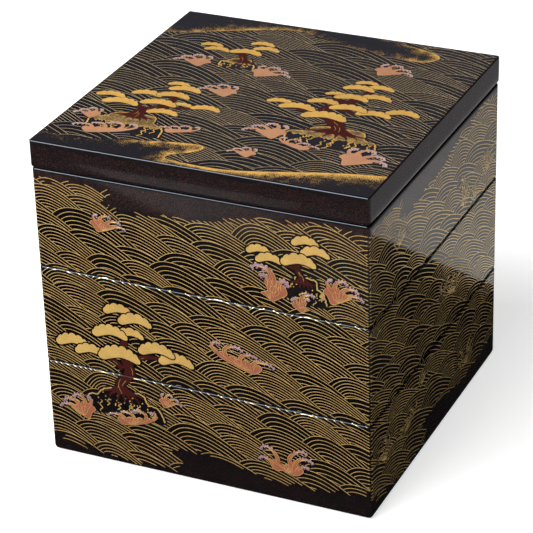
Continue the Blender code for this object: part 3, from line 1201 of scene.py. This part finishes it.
# %% [markdown]
# ## What is painted on the lid
# Positions run from the middle of the lid, and up is towards the back. Three pines on rocks and
# eleven bursts of foam stand in the sea, between two banks of cloud whose inside stays bare. The
# foam here is paler and softer than on the front, so it is filled and not outlined.

# %% Lid picture
LID_PAD_EDGE = 0.4
BACK_CLOUD_EDGE = 13      # how many of a cloud's points are its drawn edge; the rest lie off the lid
FRONT_CLOUD_EDGE = 15

LID_BARE = [
    [(-LID_HALF - 1, 62), (-85, 66.5), (-60, 78.0), (-35, 88.5), (-20, 90.5), (-3.8, 85.5), (15, 79.5),
     (33.8, 75.8), (58.8, 72.5), (67.5, 80), (63.8, 86.3), (50, 91.3), (27.5, 96.9), (10, 110), (-110, 110)],
    [(-LID_HALF - 1, -83.8), (-78.8, -86.3), (-60, -82.5), (-27.5, -73.8), (-10, -71.3), (-5.6, -75),
     (-10, -81.3), (-17.5, -86.3), (-19.4, -88.8), (-16.3, -93.1), (15, -93.8), (46.3, -85),
     (65, -78.8), (83.8, -73.8), (LID_HALF + 1, -71.3), (110, -110), (-110, -110)],
]
LID_FOAM = [
    ("sweeping", -62.5, 31.6, 23.0, 16.0, 1), ("sweeping", -13.4, 29.7, 25.0, 16.0, -1),
    ("sweeping", -84.4, -54.4, 16.0, 13.0, 1), ("rolling", -68.0, -68.5, 35.0, 18.0, -1),
    ("rolling", -29.0, -56.9, 22.0, 12.0, -1), ("sweeping", 15.9, -41.3, 25.0, 18.5, 1),
    ("rolling", 39.1, -51.9, 25.0, 12.0, 1), ("sweeping", 77.8, -56.0, 28.0, 22.0, -1),
    ("sweeping", -30.9, -2.2, 24.0, 15.5, 1), ("sweeping", 50.3, 55.6, 24.0, 17.0, -1),
    ("sweeping", 15.3, -70.3, 16.5, 11.5, 1),
]
# Each rock's place, width, height, seed, and how high its gold crown begins.
LID_ROCKS = [(-36.0, 35.5, 22.0, 13.0, 11, 0.0), (-57.0, -59.0, 46.0, 24.0, 12, -0.05),
             (54.0, -38.0, 54.0, 25.0, 13, -0.02)]

BACK_PINE = Pine(
    roots=(-35.0, 39.0, 4.6, 8.0, 5.0),
    trunk=(
        [(-35, 37), (-36.5, 42), (-39.4, 48.8), (-36, 56), (-31, 64)],
        (5.0, 3.6, 4.2, 2.4, 1.6), [(0.1, 0.2)],
    ),
    branches=[([(-39, 47), (-47, 48.5), (-57, 52)], (2.2, 1.2))],
    pads=[(-34.4, 65.9, 15.0), (-61.9, 55.4, 14.0), (-29.4, 59.6, 16.3), (-56.3, 50.4, 16.0),
          (-38.8, 51.9, 20.0)],
    edge=LID_PAD_EDGE,
)
LEFT_PINE = Pine(
    roots=(-59.0, -49.5, 7.0, 12.0, 6.0),
    trunk=(
        [(-59.3, -53), (-58.5, -45), (-56.8, -41), (-51.5, -36.4), (-47.6, -31), (-49, -22), (-51, -8)],
        (8.5, 6.5, 6.0, 5.0, 4.0, 3.5, 2.0), [(0.05, -0.3), (0.1, 0.3), (0.3, 0.1)],
    ),
    branches=[
        ([(-57, -43), (-62, -38), (-70, -33), (-80, -31)], (3.6, 2.6, 1.4)),
        ([(-49, -33), (-40, -32.5), (-30, -30)], (3.0, 2.2, 1.2)),
    ],
    pads=[(-54.4, -2.9, 13.8), (-40.6, -27.9, 13.0), (-65.6, -20.0, 18.4), (-83.8, -28.1, 17.8),
          (-26.3, -27.5, 17.8), (-50.6, -17.5, 20.0), (-48.1, -7.9, 19.6), (-74.4, -34.8, 22.0),
          (-53.8, -29.4, 21.9), (-46.3, -40.0, 18.8)],
    edge=LID_PAD_EDGE,
)
RIGHT_PINE = Pine(
    roots=(51.5, -31.0, 8.5, 18.0, 8.0),
    trunk=(
        [(51.3, -34), (50.5, -26), (45.5, -19), (37.5, -13), (34.3, -6.7), (37.2, 0.8), (43, 7.5), (47, 12),
         (48, 22), (47, 32)],
        (9.0, 7.5, 8.5, 6.5, 5.5, 4.8, 4.5, 3.6, 3.0, 1.6),
        [(0.05, -0.3), (0.08, 0.35), (0.16, 0.0), (0.42, 0.2)],
    ),
    branches=[
        ([(36, -9), (28, -11), (18, -10), (8, -6)], (3.6, 2.6, 1.4)),
        ([(38, -1), (48, -4.5), (60, -4), (74, 1)], (3.0, 2.4, 1.2)),
        ([(41, 5), (34, 9), (28, 4)], (2.4, 1.2)),
    ],
    pads=[(43.1, 35.0, 14.0), (52.5, 30.9, 16.6), (41.3, 27.1, 18.8), (32.5, 15.6, 13.0), (55.0, 18.1, 19.0),
          (42.3, 14.0, 20.2), (30.0, 3.8, 18.8), (76.3, 4.0, 19.6), (61.9, -2.3, 20.4), (46.3, 0.3, 22.2),
          (7.3, -3.8, 15.4), (19.4, -7.3, 21.6), (37.9, -13.5, 26.5)],
    edge=LID_PAD_EDGE,
)

top_picture = Picture()
for rock, pine in zip(LID_ROCKS, (BACK_PINE, LEFT_PINE, RIGHT_PINE)):
    paint_rock(top_picture, *rock)
    paint_pine(top_picture, pine)
for foam in LID_FOAM:
    paint_foam(top_picture, *foam, contour=0.0)
print(f"lid: {len(top_picture.films)} films and {len(top_picture.strokes)} drawn lines")

# %% [markdown]
# ## Faces
# The picture is flat, and each face bends it round the edges of the box. Where the gold runs over
# a tier's rounded top edge it catches the light as a row of dashes, so the lines are carried over
# the edge instead of stopping before it. A shrinkwrap modifier could do it roughly. Here each point
# is placed by the edge's own radius, which also gives the direction in which the gold stands up.

# %% Where the points of a side lie
EDGE_LIMIT = 0.966        # share of a rounded edge's radius that the picture covers: 75 degrees round
FOOT_LIMIT = 0.30         # the same on a tier's lower edge, so that the joint stays a dark line
CORNER_LIMIT = 0.70       # on an upright corner it stops half way round, where the next side begins


def rounding(reach, radius):
    """How deep a rounded edge has dropped, and how far it has turned, past the flat by reach."""
    share = np.clip(reach / radius, 0.0, 0.999)
    return radius * (1.0 - np.sqrt(1.0 - share * share)), share


class WallFace:
    """One side of one tier. Points are across from the middle of the side and up from the table."""

    def __init__(self, tier, side):
        self.tier, self.side = tier, side
        self.foot, self.top = FOOTS[tier], FOOTS[tier] + TIER_HEIGHT
        self.foot_radius = FOOT_RADII[tier]
        turn = side * math.pi / 2.0
        self.right = np.array([math.cos(turn), math.sin(turn), 0.0])
        self.inward = np.array([-math.sin(turn), math.cos(turn), 0.0])

    def holds(self, points):
        """Which points the picture on this side may reach."""
        u, z = np.abs(points[:, 0]), points[:, 1]
        over_top = z - (self.top - SHOULDER_RADIUS)
        under_foot = self.foot + self.foot_radius - z
        past_corner = u - (HALF - CORNER_RADIUS)
        fits = (over_top < EDGE_LIMIT * SHOULDER_RADIUS) & (under_foot < FOOT_LIMIT * self.foot_radius)
        fits &= past_corner < CORNER_LIMIT * CORNER_RADIUS
        return fits & ((past_corner < 0.0) | ((over_top < 0.0) & (under_foot < 0.0)))

    def rounded(self, points):
        """Which points lie on a rounded edge."""
        u, z = np.abs(points[:, 0]), points[:, 1]
        upright = u > HALF - CORNER_RADIUS
        return upright | (z > self.top - SHOULDER_RADIUS) | (z < self.foot + self.foot_radius)

    def place(self, points, lift):
        """Where points lie in the scene, in metres, at a height above the lacquer."""
        u, z = points[:, 0], points[:, 1]
        top_depth, up = rounding(z - (self.top - SHOULDER_RADIUS), SHOULDER_RADIUS)
        foot_depth, down = rounding(self.foot + self.foot_radius - z, self.foot_radius)
        corner_depth, out = rounding(np.abs(u) - (HALF - CORNER_RADIUS), CORNER_RADIUS)
        across = np.sign(u) * out
        rise = up - down
        outward = np.sqrt(np.clip(1.0 - across**2 - rise**2, 0.0, 1.0))
        u_place = u + lift * across
        depth = -HALF + top_depth + foot_depth + corner_depth - lift * outward
        found = u_place[:, None] * self.right + depth[:, None] * self.inward
        found[:, 2] = z + lift * rise
        return found * MM

    def bake_map(self, points):
        """The part of the tier's texture that this side uses: one band of four."""
        return np.stack([
            (points[:, 0] + HALF) / (2.0 * HALF),
            (self.side + (points[:, 1] - self.foot) / PITCH) / 4.0,
        ], axis=1)

    def levels(self):
        """Heights at which a film must be split, with the ends of the picture among them."""
        turns = [math.sin(math.radians(angle)) for angle in (0.0, 22.5, 45.0, 67.5)] + [EDGE_LIMIT - 0.001]
        found = [self.top - SHOULDER_RADIUS + share * SHOULDER_RADIUS for share in turns]
        foot = self.foot + self.foot_radius
        return found + [foot - share * self.foot_radius for share in (0.0, FOOT_LIMIT - 0.001)]


walls = [[WallFace(tier, side) for side in range(4)] for tier in range(3)]
print("sides:", sum(len(sides) for sides in walls))


# %% Where the points of the lid lie
class LidFace:
    """The top of the lid, asked as a side is. Points are across and back from its middle."""

    def __init__(self, reach):
        self.reach = reach

    def holds(self, points):
        past = np.abs(points) - (LID_HALF - LID_TOP_RADIUS)
        fits = (past < self.reach * LID_TOP_RADIUS).all(axis=1)
        return fits & ~(past > 0.0).all(axis=1)

    def rounded(self, points):
        return (np.abs(points) > LID_HALF - LID_TOP_RADIUS).any(axis=1)

    def place(self, points, lift):
        depth, out = rounding(np.abs(points) - (LID_HALF - LID_TOP_RADIUS), LID_TOP_RADIUS)
        out *= np.sign(points)
        upward = np.sqrt(np.clip(1.0 - (out**2).sum(axis=1), 0.0, 1.0))
        height = LID_TOP - depth.sum(axis=1) + lift * upward
        return np.concatenate([points + lift * out, height[:, None]], axis=1) * MM

    def bake_map(self, points):
        return (points + LID_HALF) / (2.0 * LID_HALF)


lid_face = LidFace(reach=0.35)
print(f"lid: {2.0 * LID_HALF:.1f} mm wide")

# %% [markdown]
# ## Ribbons
# A gold line on the box is a thread of powder a few hundredths of a millimetre high. A curve with a
# bevel would make a round tube of many faces. Each line here is a thin three-sided ribbon whose ends
# taper, a little sunk so that no gap shows. It keeps only the points that its bends need, and more
# of them on a rounded edge, so that it doesn't cut through the lacquer there.

# %% Thin out a line
TAPER = 0.8
TURN_STEP = math.radians(4.5)      # a line keeps a point for each such turn
LONGEST_STEP = 3.0                 # and at least one in this length
LONGEST_ROUNDED_STEP = 0.2         # or in this one, where it lies on a rounded edge


def thinned(line, rounded):
    """The line with only the points that its bends need, and how far along it each lies."""
    steps = np.diff(line, axis=0)
    lengths = np.linalg.norm(steps, axis=1)
    headings = np.unwrap(np.arctan2(steps[:, 1], steps[:, 0]))
    turning = np.abs(np.concatenate([[0.0], np.diff(headings)])) / TURN_STEP
    reach = lengths / np.where(rounded[1:], LONGEST_ROUNDED_STEP, LONGEST_STEP)
    progress = np.concatenate([[0.0], np.cumsum(np.maximum(turning, reach))])
    along = np.concatenate([[0.0], np.cumsum(lengths)])
    kept = np.concatenate([[True], np.diff(np.floor(progress)) > 0])
    for mark in (TAPER, along[-1] - TAPER):
        kept[min(int(np.searchsorted(along, mark)), len(line) - 1)] = True
    kept[-1] = True
    return line[kept], along[kept]


print(f"ribbons taper over {TAPER} mm")

# %% Build ribbons
SUNK = -0.03           # how far ribbons and films reach into the lacquer
WAVE_HEIGHT = 0.05
DRAWING_HEIGHT = 0.09


class Relief:
    """Collects the parts of one mesh piece and its flat texture layout."""

    def __init__(self):
        self.points, self.faces, self.layout, self.count = [], [], [], 0

    def add(self, points, faces, layout):
        """Adds faces over new points. layout is where each point lies on the flat texture."""
        self.points.append(points)
        self.faces.extend([corner + self.count for corner in face] for face in faces)
        self.layout.append(layout)
        self.count += len(points)

    def add_ribbon(self, face, line, width, height, sunk=SUNK):
        """Adds a ribbon along a line: its two edges are sunk, and its ridge stands up."""
        line, along = thinned(line, face.rounded(line))
        if len(line) < 3:
            return
        ends = np.minimum(along, along[-1] - along)
        half = 0.5 * width * np.clip(0.2 + 0.8 * ends / TAPER, 0.0, 1.0)[:, None]
        side = side_steps(line) * half
        rows = [line + side, line - side, line]
        lifts = [sunk, sunk, height]
        points = np.stack([face.place(row, lift) for row, lift in zip(rows, lifts)], axis=1)
        layout = np.stack([face.bake_map(row) for row in rows], axis=1)
        first = 3 * np.arange(len(line) - 1)[:, None]
        sections = [first + corners for corners in ([0, 2, 5, 3], [2, 1, 4, 5], [1, 0, 3, 4])]
        last = 3 * (len(line) - 1)
        faces = [corners for section in sections for corners in section.tolist()]
        faces += [[0, 1, 2], [last, last + 2, last + 1]]
        self.add(points.reshape(-1, 3), faces, layout.reshape(-1, 2))

    def build(self, name, slot, material):
        """Makes the mesh, gives it its finish and lets it ride on the box."""
        mesh = bpy.data.meshes.new(name)
        mesh.from_pydata(np.concatenate(self.points).tolist(), [], self.faces)
        layout = np.concatenate(self.layout)
        corners = np.empty(len(mesh.loops), dtype=np.int32)
        mesh.loops.foreach_get("vertex_index", corners)
        mesh.uv_layers.new(name="OFBake").data.foreach_set("uv", layout[corners].astype(np.float32).ravel())
        mesh.materials.append(material)
        piece = bpy.data.objects.new(name, mesh)
        bpy.context.scene.collection.objects.link(piece)
        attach(piece, BODY)
        triangles = sum(len(face) - 2 for face in self.faces)
        print(f"{name}: {triangles} triangles")
        return piece


# %% [markdown]
# ## Films
# A filled area is a film of powder: a thin slab cut out of the picture's outlines. Where outlines
# overlap, one triangulation of them all splits the face into areas that each belong to the topmost
# film, so two powders never lie in the same place. Levels across the rounded edges are cut in too,
# so that a film bends there. Bare areas get no film.

# %% Split overlapping outlines
FILM_HEIGHT = 0.05
CUT_TOLERANCE = 1e-5


def span(points, edges, start, end):
    """Adds a straight cut to a triangulation's points and edges."""
    edges.append((len(points), len(points) + 1))
    points.extend([Vector(start), Vector(end)])


def overlay(films, levels):
    """Splits overlapping outlines into triangles. Gives points, triangles and each one's powder."""
    points, edges, faces = [], [], []
    for film in films:
        start = len(points)
        outline = film.outline if signed_area(film.outline) > 0.0 else film.outline[::-1]
        points.extend(Vector(point) for point in outline.tolist())
        faces.append(list(range(start, len(points))))
    for level in levels:
        span(points, edges, (-2.0 * HALF, level), (2.0 * HALF, level))
    found, _, triangles, _, _, sources = delaunay_2d_cdt(points, edges, faces, 1, CUT_TOLERANCE, True)
    powders = [films[max(source)].powder if source else None for source in sources]
    return np.array([point[:] for point in found]), np.array(triangles), np.array(powders, dtype=object)


# %% Build films
PIECE_NAMES = {
    "gold_ground": "gold_ground", "moss_gold": "rock_moss", "maroon": "pine_wood", "coral": "foam",
    "lilac": "foam_claws",
}


def add_slab(relief, face, points, triangles, height=FILM_HEIGHT):
    """A closed slab, flush with the face, over the given triangles."""
    used, numbers = np.unique(triangles, return_inverse=True)
    triangles = numbers.reshape(-1, 3)
    flat = points[used]
    count = len(flat)
    sides = np.concatenate([triangles[:, [0, 1]], triangles[:, [1, 2]], triangles[:, [2, 0]]])
    known = set(map(tuple, sides.tolist()))
    rim = [(a, b) for a, b in sides.tolist() if (b, a) not in known]
    faces = triangles.tolist()
    faces += (triangles[:, ::-1] + count).tolist()
    faces += [[a, a + count, b + count, b] for a, b in rim]
    top = face.place(flat, height)
    bottom = face.place(flat, SUNK)
    layout = face.bake_map(flat)
    relief.add(np.concatenate([top, bottom]), faces, np.concatenate([layout, layout]))


def build_films(owner, face, overlaid, finishes=None):
    """Builds one piece for each powder. finishes may give a powder another material."""
    points, triangles, powders = overlaid
    finishes = finishes or {}
    centres = points[triangles].mean(axis=1)
    here = face.holds(centres)
    for powder, name in PIECE_NAMES.items():
        chosen = triangles[here & (powders == powder)]
        if len(chosen):
            relief = Relief()
            add_slab(relief, face, points, chosen)
            finish = finishes.get(powder, powder)
            relief.build(f"{name}_{owner}", POWDERS[finish].slot, POWDER_MATERIALS[finish])


print("film pieces:", ", ".join(PIECE_NAMES.values()))

# %% [markdown]
# ## The sea round the tiers
# All four sides carry the same sea, cut where the front's figures or the plain sides' bursts stand.
# It is drawn once over the height of the stack, and then each tier takes its own part of every line,
# because the tiers lift off one another. On the plain sides the gold is flatter and a little wider:
# rubbed down, it mirrors the light beside the lacquer instead of standing dark against it.

# %% Sea and drawing for the sides
FRONT_WAVE_WIDTH = 0.60
SIDE_WAVE_WIDTH = 0.68
SIDE_WAVE_HEIGHT = 0.018
SIDE_DRAWING_HEIGHT = 0.030
SIDE_SUNK = -0.010
SIDE_SEA = dict(seed=7, pitch=24.0, rise=11.0, line_gap=2.3, spread=0.28)
OFF_LEFT = 60.0        # fans begin this far to the left, so that their tails cross the whole side

sea = wave_lines(left=LEFT - OFF_LEFT, right=RIGHT, low=0.0, high=SIDE_TOP, **SIDE_SEA)
sea = cut_lines(sea, [np.array(area, float) for area in SIDE_BARE], ragged=1.5, seed=1)
front_sea, plain_sea = [cut_lines(sea, picture.keep_out) for picture in (front_picture, plain_picture)]
front_drawing, plain_drawing = front_picture.drawn_lines(), plain_picture.drawn_lines()
print(f"sea: {len(front_sea)} lines on the front, {len(plain_sea)} on each other side")


# %% Lay lines on a face
DRAWN_STEP = 0.3       # spacing of a drawn line's points, so that it can follow a rounded edge


def stretches(face, line):
    """The parts of a line that lie on a face."""
    for first, last in runs_of(face.holds(line)):
        part = line[first:last]
        if len(part) > 2 and length_of(part) > SHORTEST_LINE:
            yield part


def densely(line):
    """The line with points at even, short steps."""
    along = np.concatenate([[0.0], np.cumsum(np.linalg.norm(np.diff(line, axis=0), axis=1))])
    places = np.linspace(0.0, along[-1], max(3, int(along[-1] / DRAWN_STEP)))
    return np.stack([np.interp(places, along, line[:, axis]) for axis in (0, 1)], axis=1)


def lay_sea(face, lines, relief, width, height=WAVE_HEIGHT, sunk=SUNK):
    for line in lines:
        for part in stretches(face, line):
            relief.add_ribbon(face, part, width, height, sunk)


def lay_drawing(face, drawn, reliefs, height=DRAWING_HEIGHT, sunk=SUNK):
    """Adds a face's drawn lines to the relief of each line's powder."""
    for line, width, powder in drawn:
        for part in stretches(face, densely(line)):
            reliefs[powder].add_ribbon(face, part, width, height, sunk)


print(f"drawn lines have a point every {DRAWN_STEP} mm")

# %% [markdown]
# ## Painted shade at the joints
# The rounded edges beside each joint lie in shade and mirror the dark, so on the plain sides, which mirror
# a bright floor, the joints show as black lines that part the tiers. Here that shade is painted as a matt,
# nearly black band. A mask in the lacquer's material could do it too. Each is a thin band of its own here,
# because a band also covers the gold lines that run over the rounded edge, and the front needs none.

# %% Painted joint shade on the plain sides
RIM_HEIGHT = 0.009
RIM_TURNS = [math.sin(math.radians(angle)) for angle in (0, 12, 24, 36, 48, 60, 72)]
RIM_FLAT = 0.25        # how far a matt rim comes out onto the flat of a side
LID_RIM_FLAT = 0.9     # the same just under the lid
MATT_SHINE = 0.05
# These two mix the band's colour almost wholly to near black: painted shade at the joint.
JOINT_SHADE_DIMMING = 0.9
JOINT_SHADE_TONE = (0.001, 0.001, 0.001, 1.0)


def joint_shade_material():
    """The lid's lacquer, dull and dimmed almost to black: painted shade for the rounded edges at a joint."""
    material = lacquer_material("painted_joint_shade", lid_values)
    tree = material.node_tree
    shader = tree.nodes["Principled BSDF"]
    shader.inputs["Specular IOR Level"].default_value = MATT_SHINE
    polished = shader.inputs["Base Color"].links[0].from_socket
    # Painted shade: the lacquer's own colour dimmed almost to black.
    tree.links.new(mix_colour(tree, JOINT_SHADE_DIMMING, polished, JOINT_SHADE_TONE), shader.inputs["Base Color"])
    return material


def add_rim(relief, wall, levels):
    """A matt, nearly black band of painted shade along one edge of a side, from one upright corner to the
    other.
    """
    reach = HALF - CORNER_RADIUS
    points = np.array([(across, level) for level in levels for across in (-reach, reach)])
    first = 2 * np.arange(len(levels) - 1)[:, None]
    add_slab(relief, wall, points, np.concatenate([first + [0, 1, 3], first + [0, 3, 2]]), RIM_HEIGHT)


def build_rims(tier, material):
    """Bands of painted shade over the shoulders of a tier's plain sides, and over their feet where a joint
    is.
    """
    rims = Relief()
    for wall in walls[tier][1:]:
        shoulder = wall.top - SHOULDER_RADIUS
        flat = LID_RIM_FLAT if tier == len(TIERS) - 1 else RIM_FLAT
        add_rim(rims, wall, [shoulder - flat] + [shoulder + SHOULDER_RADIUS * turn for turn in RIM_TURNS])
        if tier > 0:
            foot = wall.foot + wall.foot_radius
            round_foot = [foot - wall.foot_radius * turn for turn in RIM_TURNS[::-1]]
            add_rim(rims, wall, round_foot + [foot + RIM_FLAT])
    rims.build(f"joint_shade_rims_{TIERS[tier]}", "black_lacquer", material)


painted_joint_shade = joint_shade_material()
print("matt rims follow an edge in", len(RIM_TURNS) - 1, "steps")

# %% [markdown]
# ## Painting the tiers
# Each tier gets its bands of painted joint shade, its sea and its drawn lines, each as one piece that rides
# on the box.
# The gold of each tier has its painted highlight over its own shoulder, so the material is made tier by tier.
# The front's films are cut once for the whole picture and then shared out among the tiers.

# %% Sea and drawing on the sides
for tier, name in enumerate(TIERS):
    waves, drawn = Relief(), {"gold_line": Relief(), "needle_line": Relief()}
    front, *plain_sides = walls[tier]
    lay_sea(front, front_sea, waves, FRONT_WAVE_WIDTH)
    lay_drawing(front, front_drawing, drawn)
    for wall in plain_sides:
        lay_sea(wall, plain_sea, waves, SIDE_WAVE_WIDTH, SIDE_WAVE_HEIGHT, SIDE_SUNK)
        lay_drawing(wall, plain_drawing, drawn, SIDE_DRAWING_HEIGHT, SIDE_SUNK)
    build_rims(tier, painted_joint_shade)
    gold = glinting_gold(name, FOOTS[tier] + TIER_HEIGHT)
    waves.build(f"waves_{name}", "gold_line", gold)
    drawn["gold_line"].build(f"gold_drawing_{name}", "gold_line", gold)
    if drawn["needle_line"].count:
        drawn["needle_line"].build(f"needle_drawing_{name}", "gold_leaf", POWDER_MATERIALS["needle_line"])

# %% Films on the front
front_levels = sorted({round(level, 6) for sides in walls for level in sides[0].levels()})
front_overlay = overlay(front_picture.films, front_levels)
for sides, name in zip(walls, TIERS):
    build_films(name, sides[0], front_overlay)

# %% [markdown]
# ## Painting the lid
# The lid's sea has larger fans with wider gaps, drawn more finely, and its powders are paler. It is
# made in the same way as the sides', and just reaches the lid's rounded edge.

# %% Sea, drawing and films on the lid
LID_WAVE_WIDTH = 0.43
LID_SEA = dict(seed=8, pitch=34.0, rise=15.0, line_gap=3.2, spread=0.42)
LID_FINISHES = {"gold_ground": "lid_gold", "coral": "lid_coral", "lilac": "lid_lilac"}

lid_sea = wave_lines(left=-LID_HALF - OFF_LEFT, right=LID_HALF, low=-LID_HALF, high=LID_HALF, **LID_SEA)
lid_sea = cut_lines(lid_sea, [np.array(area, float) for area in LID_BARE], ragged=1.2, seed=2)
lid_sea = cut_lines(lid_sea, top_picture.keep_out)
waves, drawn = Relief(), {"gold_line": Relief(), "needle_line": Relief()}
lay_sea(lid_face, lid_sea, waves, LID_WAVE_WIDTH)
lay_drawing(lid_face, top_picture.drawn_lines(), drawn)
waves.build("waves_lid", "gold_line", POWDER_MATERIALS["lid_line"])
drawn["gold_line"].build("gold_drawing_lid", "gold_line", POWDER_MATERIALS["lid_gold"])
drawn["needle_line"].build("needle_drawing_lid", "gold_leaf", POWDER_MATERIALS["needle_line"])
build_films("lid", lid_face, overlay(top_picture.films, []), LID_FINISHES)

# %% [markdown]
# ## Gold mist on the lid
# Two banks of cloud leave the lid's lacquer bare. Gold dust is sprinkled along their edges and thins
# out inwards. The dust is one film over each bank, in the lid's own lacquer, with gold grains whose
# number follows a density kept at every point. Single grains as geometry would be far too many, and
# a painted image would have no grain close up. A mirror this flat shows no seam at the film's edge.

# %% How thickly the gold dust lies
MIST_REACH = 7.5           # how far in the dust has thinned to about a third
MIST_DRIFT = 20.0          # the same for the few grains that drift farther
MIST_SHARE = 0.72
DRIFT_SHARE = 0.24
EDGE_FADE = (1.3, 2.0)     # what is left where the lid's rounded edge begins, and its fall across it
LID_FLAT = LID_HALF - LID_TOP_RADIUS


def distance_to(points, line):
    """How far each point is from a line drawn through several points."""
    start, reach = line[:-1], np.diff(line, axis=0)
    offset = points[:, None, :] - start[None, :, :]
    share = np.clip((offset * reach).sum(axis=2) / (reach**2).sum(axis=1), 0.0, 1.0)
    return np.linalg.norm(offset - share[:, :, None] * reach, axis=2).min(axis=1)


def dust_density(places, edge, shares):
    """Thick by the cloud's edge and thin inside. shares gives it for some places from left to right."""
    inwards = distance_to(places, edge)
    density = MIST_SHARE * np.exp(-inwards / MIST_REACH) + DRIFT_SHARE * np.exp(-inwards / MIST_DRIFT)
    density *= np.interp(places[:, 0], list(shares), list(shares.values()))
    over_edge = (np.abs(places).max(axis=1) - LID_FLAT) / LID_TOP_RADIUS
    return density * np.clip(EDGE_FADE[0] - EDGE_FADE[1] * over_edge, 0.0, 1.0)


print(f"gold dust reaches {MIST_REACH} mm in")

# %% The lacquer with gold dust in it
GRAIN_SCALE = 3200.0
DRIFT_SCALE = 160.0
DRIFT_PULL = 0.5           # how much the slow drift gathers the grains
NEED_AT_NONE = 1.08        # the noise a grain needs where the density is 0
NEED_FALL = -0.52          # and how that falls as the density rises to 1
GRAIN_SOFTNESS = 0.16
GRAIN_ROUGHNESS = 0.42


def grain_mask(tree):
    """1 where a grain of gold lies, from noise and the density kept at the film's points."""
    density = add_node(tree, "Attribute", attribute_name="gold_dust").outputs["Fac"]
    place = add_node(tree, "TexCoord").outputs["Object"]
    grain = add_node(tree, "TexNoise", {"Vector": place, "Scale": GRAIN_SCALE, "Detail": 1.0}).outputs["Fac"]
    drift = add_node(tree, "TexNoise", {"Vector": place, "Scale": DRIFT_SCALE, "Detail": 3.0}).outputs["Fac"]
    blend = add_node(tree, "Math", {0: drift, 1: DRIFT_PULL, 2: grain}, operation="MULTIPLY_ADD").outputs[0]
    need_inputs = {0: density, 1: NEED_FALL, 2: NEED_AT_NONE}
    need = add_node(tree, "Math", need_inputs, operation="MULTIPLY_ADD").outputs[0]
    return ramp(tree, math_node(tree, "SUBTRACT", blend, need), 0.0, GRAIN_SOFTNESS)


def mist_material():
    """The lid's lacquer, with gold over it wherever a grain lies."""
    gold = POWDERS["mist_gold"]
    material = lacquer_material("lid_mist", lid_values)
    tree = material.node_tree
    shader = tree.nodes["Principled BSDF"]
    colour, roughness = [shader.inputs[name].links[0].from_socket for name in ("Base Color", "Roughness")]
    mask = grain_mask(tree)
    rough = math_node(tree, "MULTIPLY", mask, GRAIN_ROUGHNESS)
    tree.links.new(mix_colour(tree, mask, colour, (*gold.bright, 1.0)), shader.inputs["Base Color"])
    tree.links.new(math_node(tree, "MAXIMUM", roughness, rough), shader.inputs["Roughness"])
    tree.links.new(math_node(tree, "MULTIPLY", mask, gold.metallic), shader.inputs["Metallic"])
    return material


lid_mist = mist_material()
print("made", lid_mist.name)

# %% A film over each cloud
MIST_HEIGHT = 0.02
MIST_STEP = 2.0
MIST_MARGIN = 0.6          # how far the grid stays away from the cloud's edge
MIST_LEVELS = [LID_FLAT + LID_TOP_RADIUS * share for share in (0.0, 0.383, 0.707, 0.924, EDGE_LIMIT - 0.001)]
PAST_LID = 110.0


def cloud_grid(outline, edge):
    """A grid of points inside a cloud, finer where the lid is rounded."""
    grid = np.linspace(-LID_FLAT, LID_FLAT, round(2.0 * LID_FLAT / MIST_STEP) + 1)
    marks = np.concatenate([grid, MIST_LEVELS[1:], -np.array(MIST_LEVELS[1:])])
    across, up = np.meshgrid(marks, marks)
    points = np.stack([across.ravel(), up.ravel()], axis=1)
    return points[inside(points, outline) & (distance_to(points, edge) > MIST_MARGIN)]


def cloud_triangles(outline, edge):
    """The cloud's outline filled with triangles that follow the grid and the lid's rounded edge."""
    points = [Vector(point) for point in np.concatenate([outline, cloud_grid(outline, edge)]).tolist()]
    edges = []
    for level in MIST_LEVELS:
        for side in (-level, level):
            span(points, edges, (-PAST_LID, side), (PAST_LID, side))
            span(points, edges, (side, -PAST_LID), (side, PAST_LID))
    whole = [list(range(len(outline)))]
    found, _, triangles, _, _, _ = delaunay_2d_cdt(points, edges, whole, 1, CUT_TOLERANCE, True)
    flat, triangles = np.array([point[:] for point in found]), np.array(triangles)
    centres = flat[triangles].mean(axis=1)
    furthest = LID_FLAT + EDGE_LIMIT * LID_TOP_RADIUS - 0.0005
    kept = inside(centres, outline) & (np.abs(centres) < furthest).all(axis=1)
    kept &= ~(np.abs(centres) > LID_FLAT).all(axis=1)
    return flat, triangles[kept]


def build_mist(name, cloud, edge_count, shares):
    """A film over one cloud. Its first edge_count points are the drawn edge, the rest lie off the lid."""
    edge = smooth_curve(cloud[:edge_count], 1.0)
    outline = np.concatenate([edge, np.array(cloud[edge_count:], float)])
    if signed_area(outline) < 0.0:
        outline = outline[::-1]
    flat, triangles = cloud_triangles(outline, edge)
    relief = Relief()
    add_slab(relief, LidFace(reach=EDGE_LIMIT), flat, triangles, MIST_HEIGHT)
    piece = relief.build(name, "gold_leaf", lid_mist)
    top_and_bottom = np.concatenate([flat[np.unique(triangles)]] * 2)
    density = dust_density(top_and_bottom, edge, shares)
    layer = piece.data.attributes.new("gold_dust", "FLOAT", "POINT")
    layer.data.foreach_set("value", density.astype(np.float32))


BACK_SHARES = {-90: 0.70, -70: 0.90, -30: 0.85, 0: 0.5, 35: 0.5, 52: 0.85, 67: 1.0}
FRONT_SHARES = {-60: 0.45, -32: 0.92, 0: 1.05, 30: 1.2}
build_mist("gold_mist_back", LID_BARE[0], BACK_CLOUD_EDGE, BACK_SHARES)
build_mist("gold_mist_front", LID_BARE[1], FRONT_CLOUD_EDGE, FRONT_SHARES)
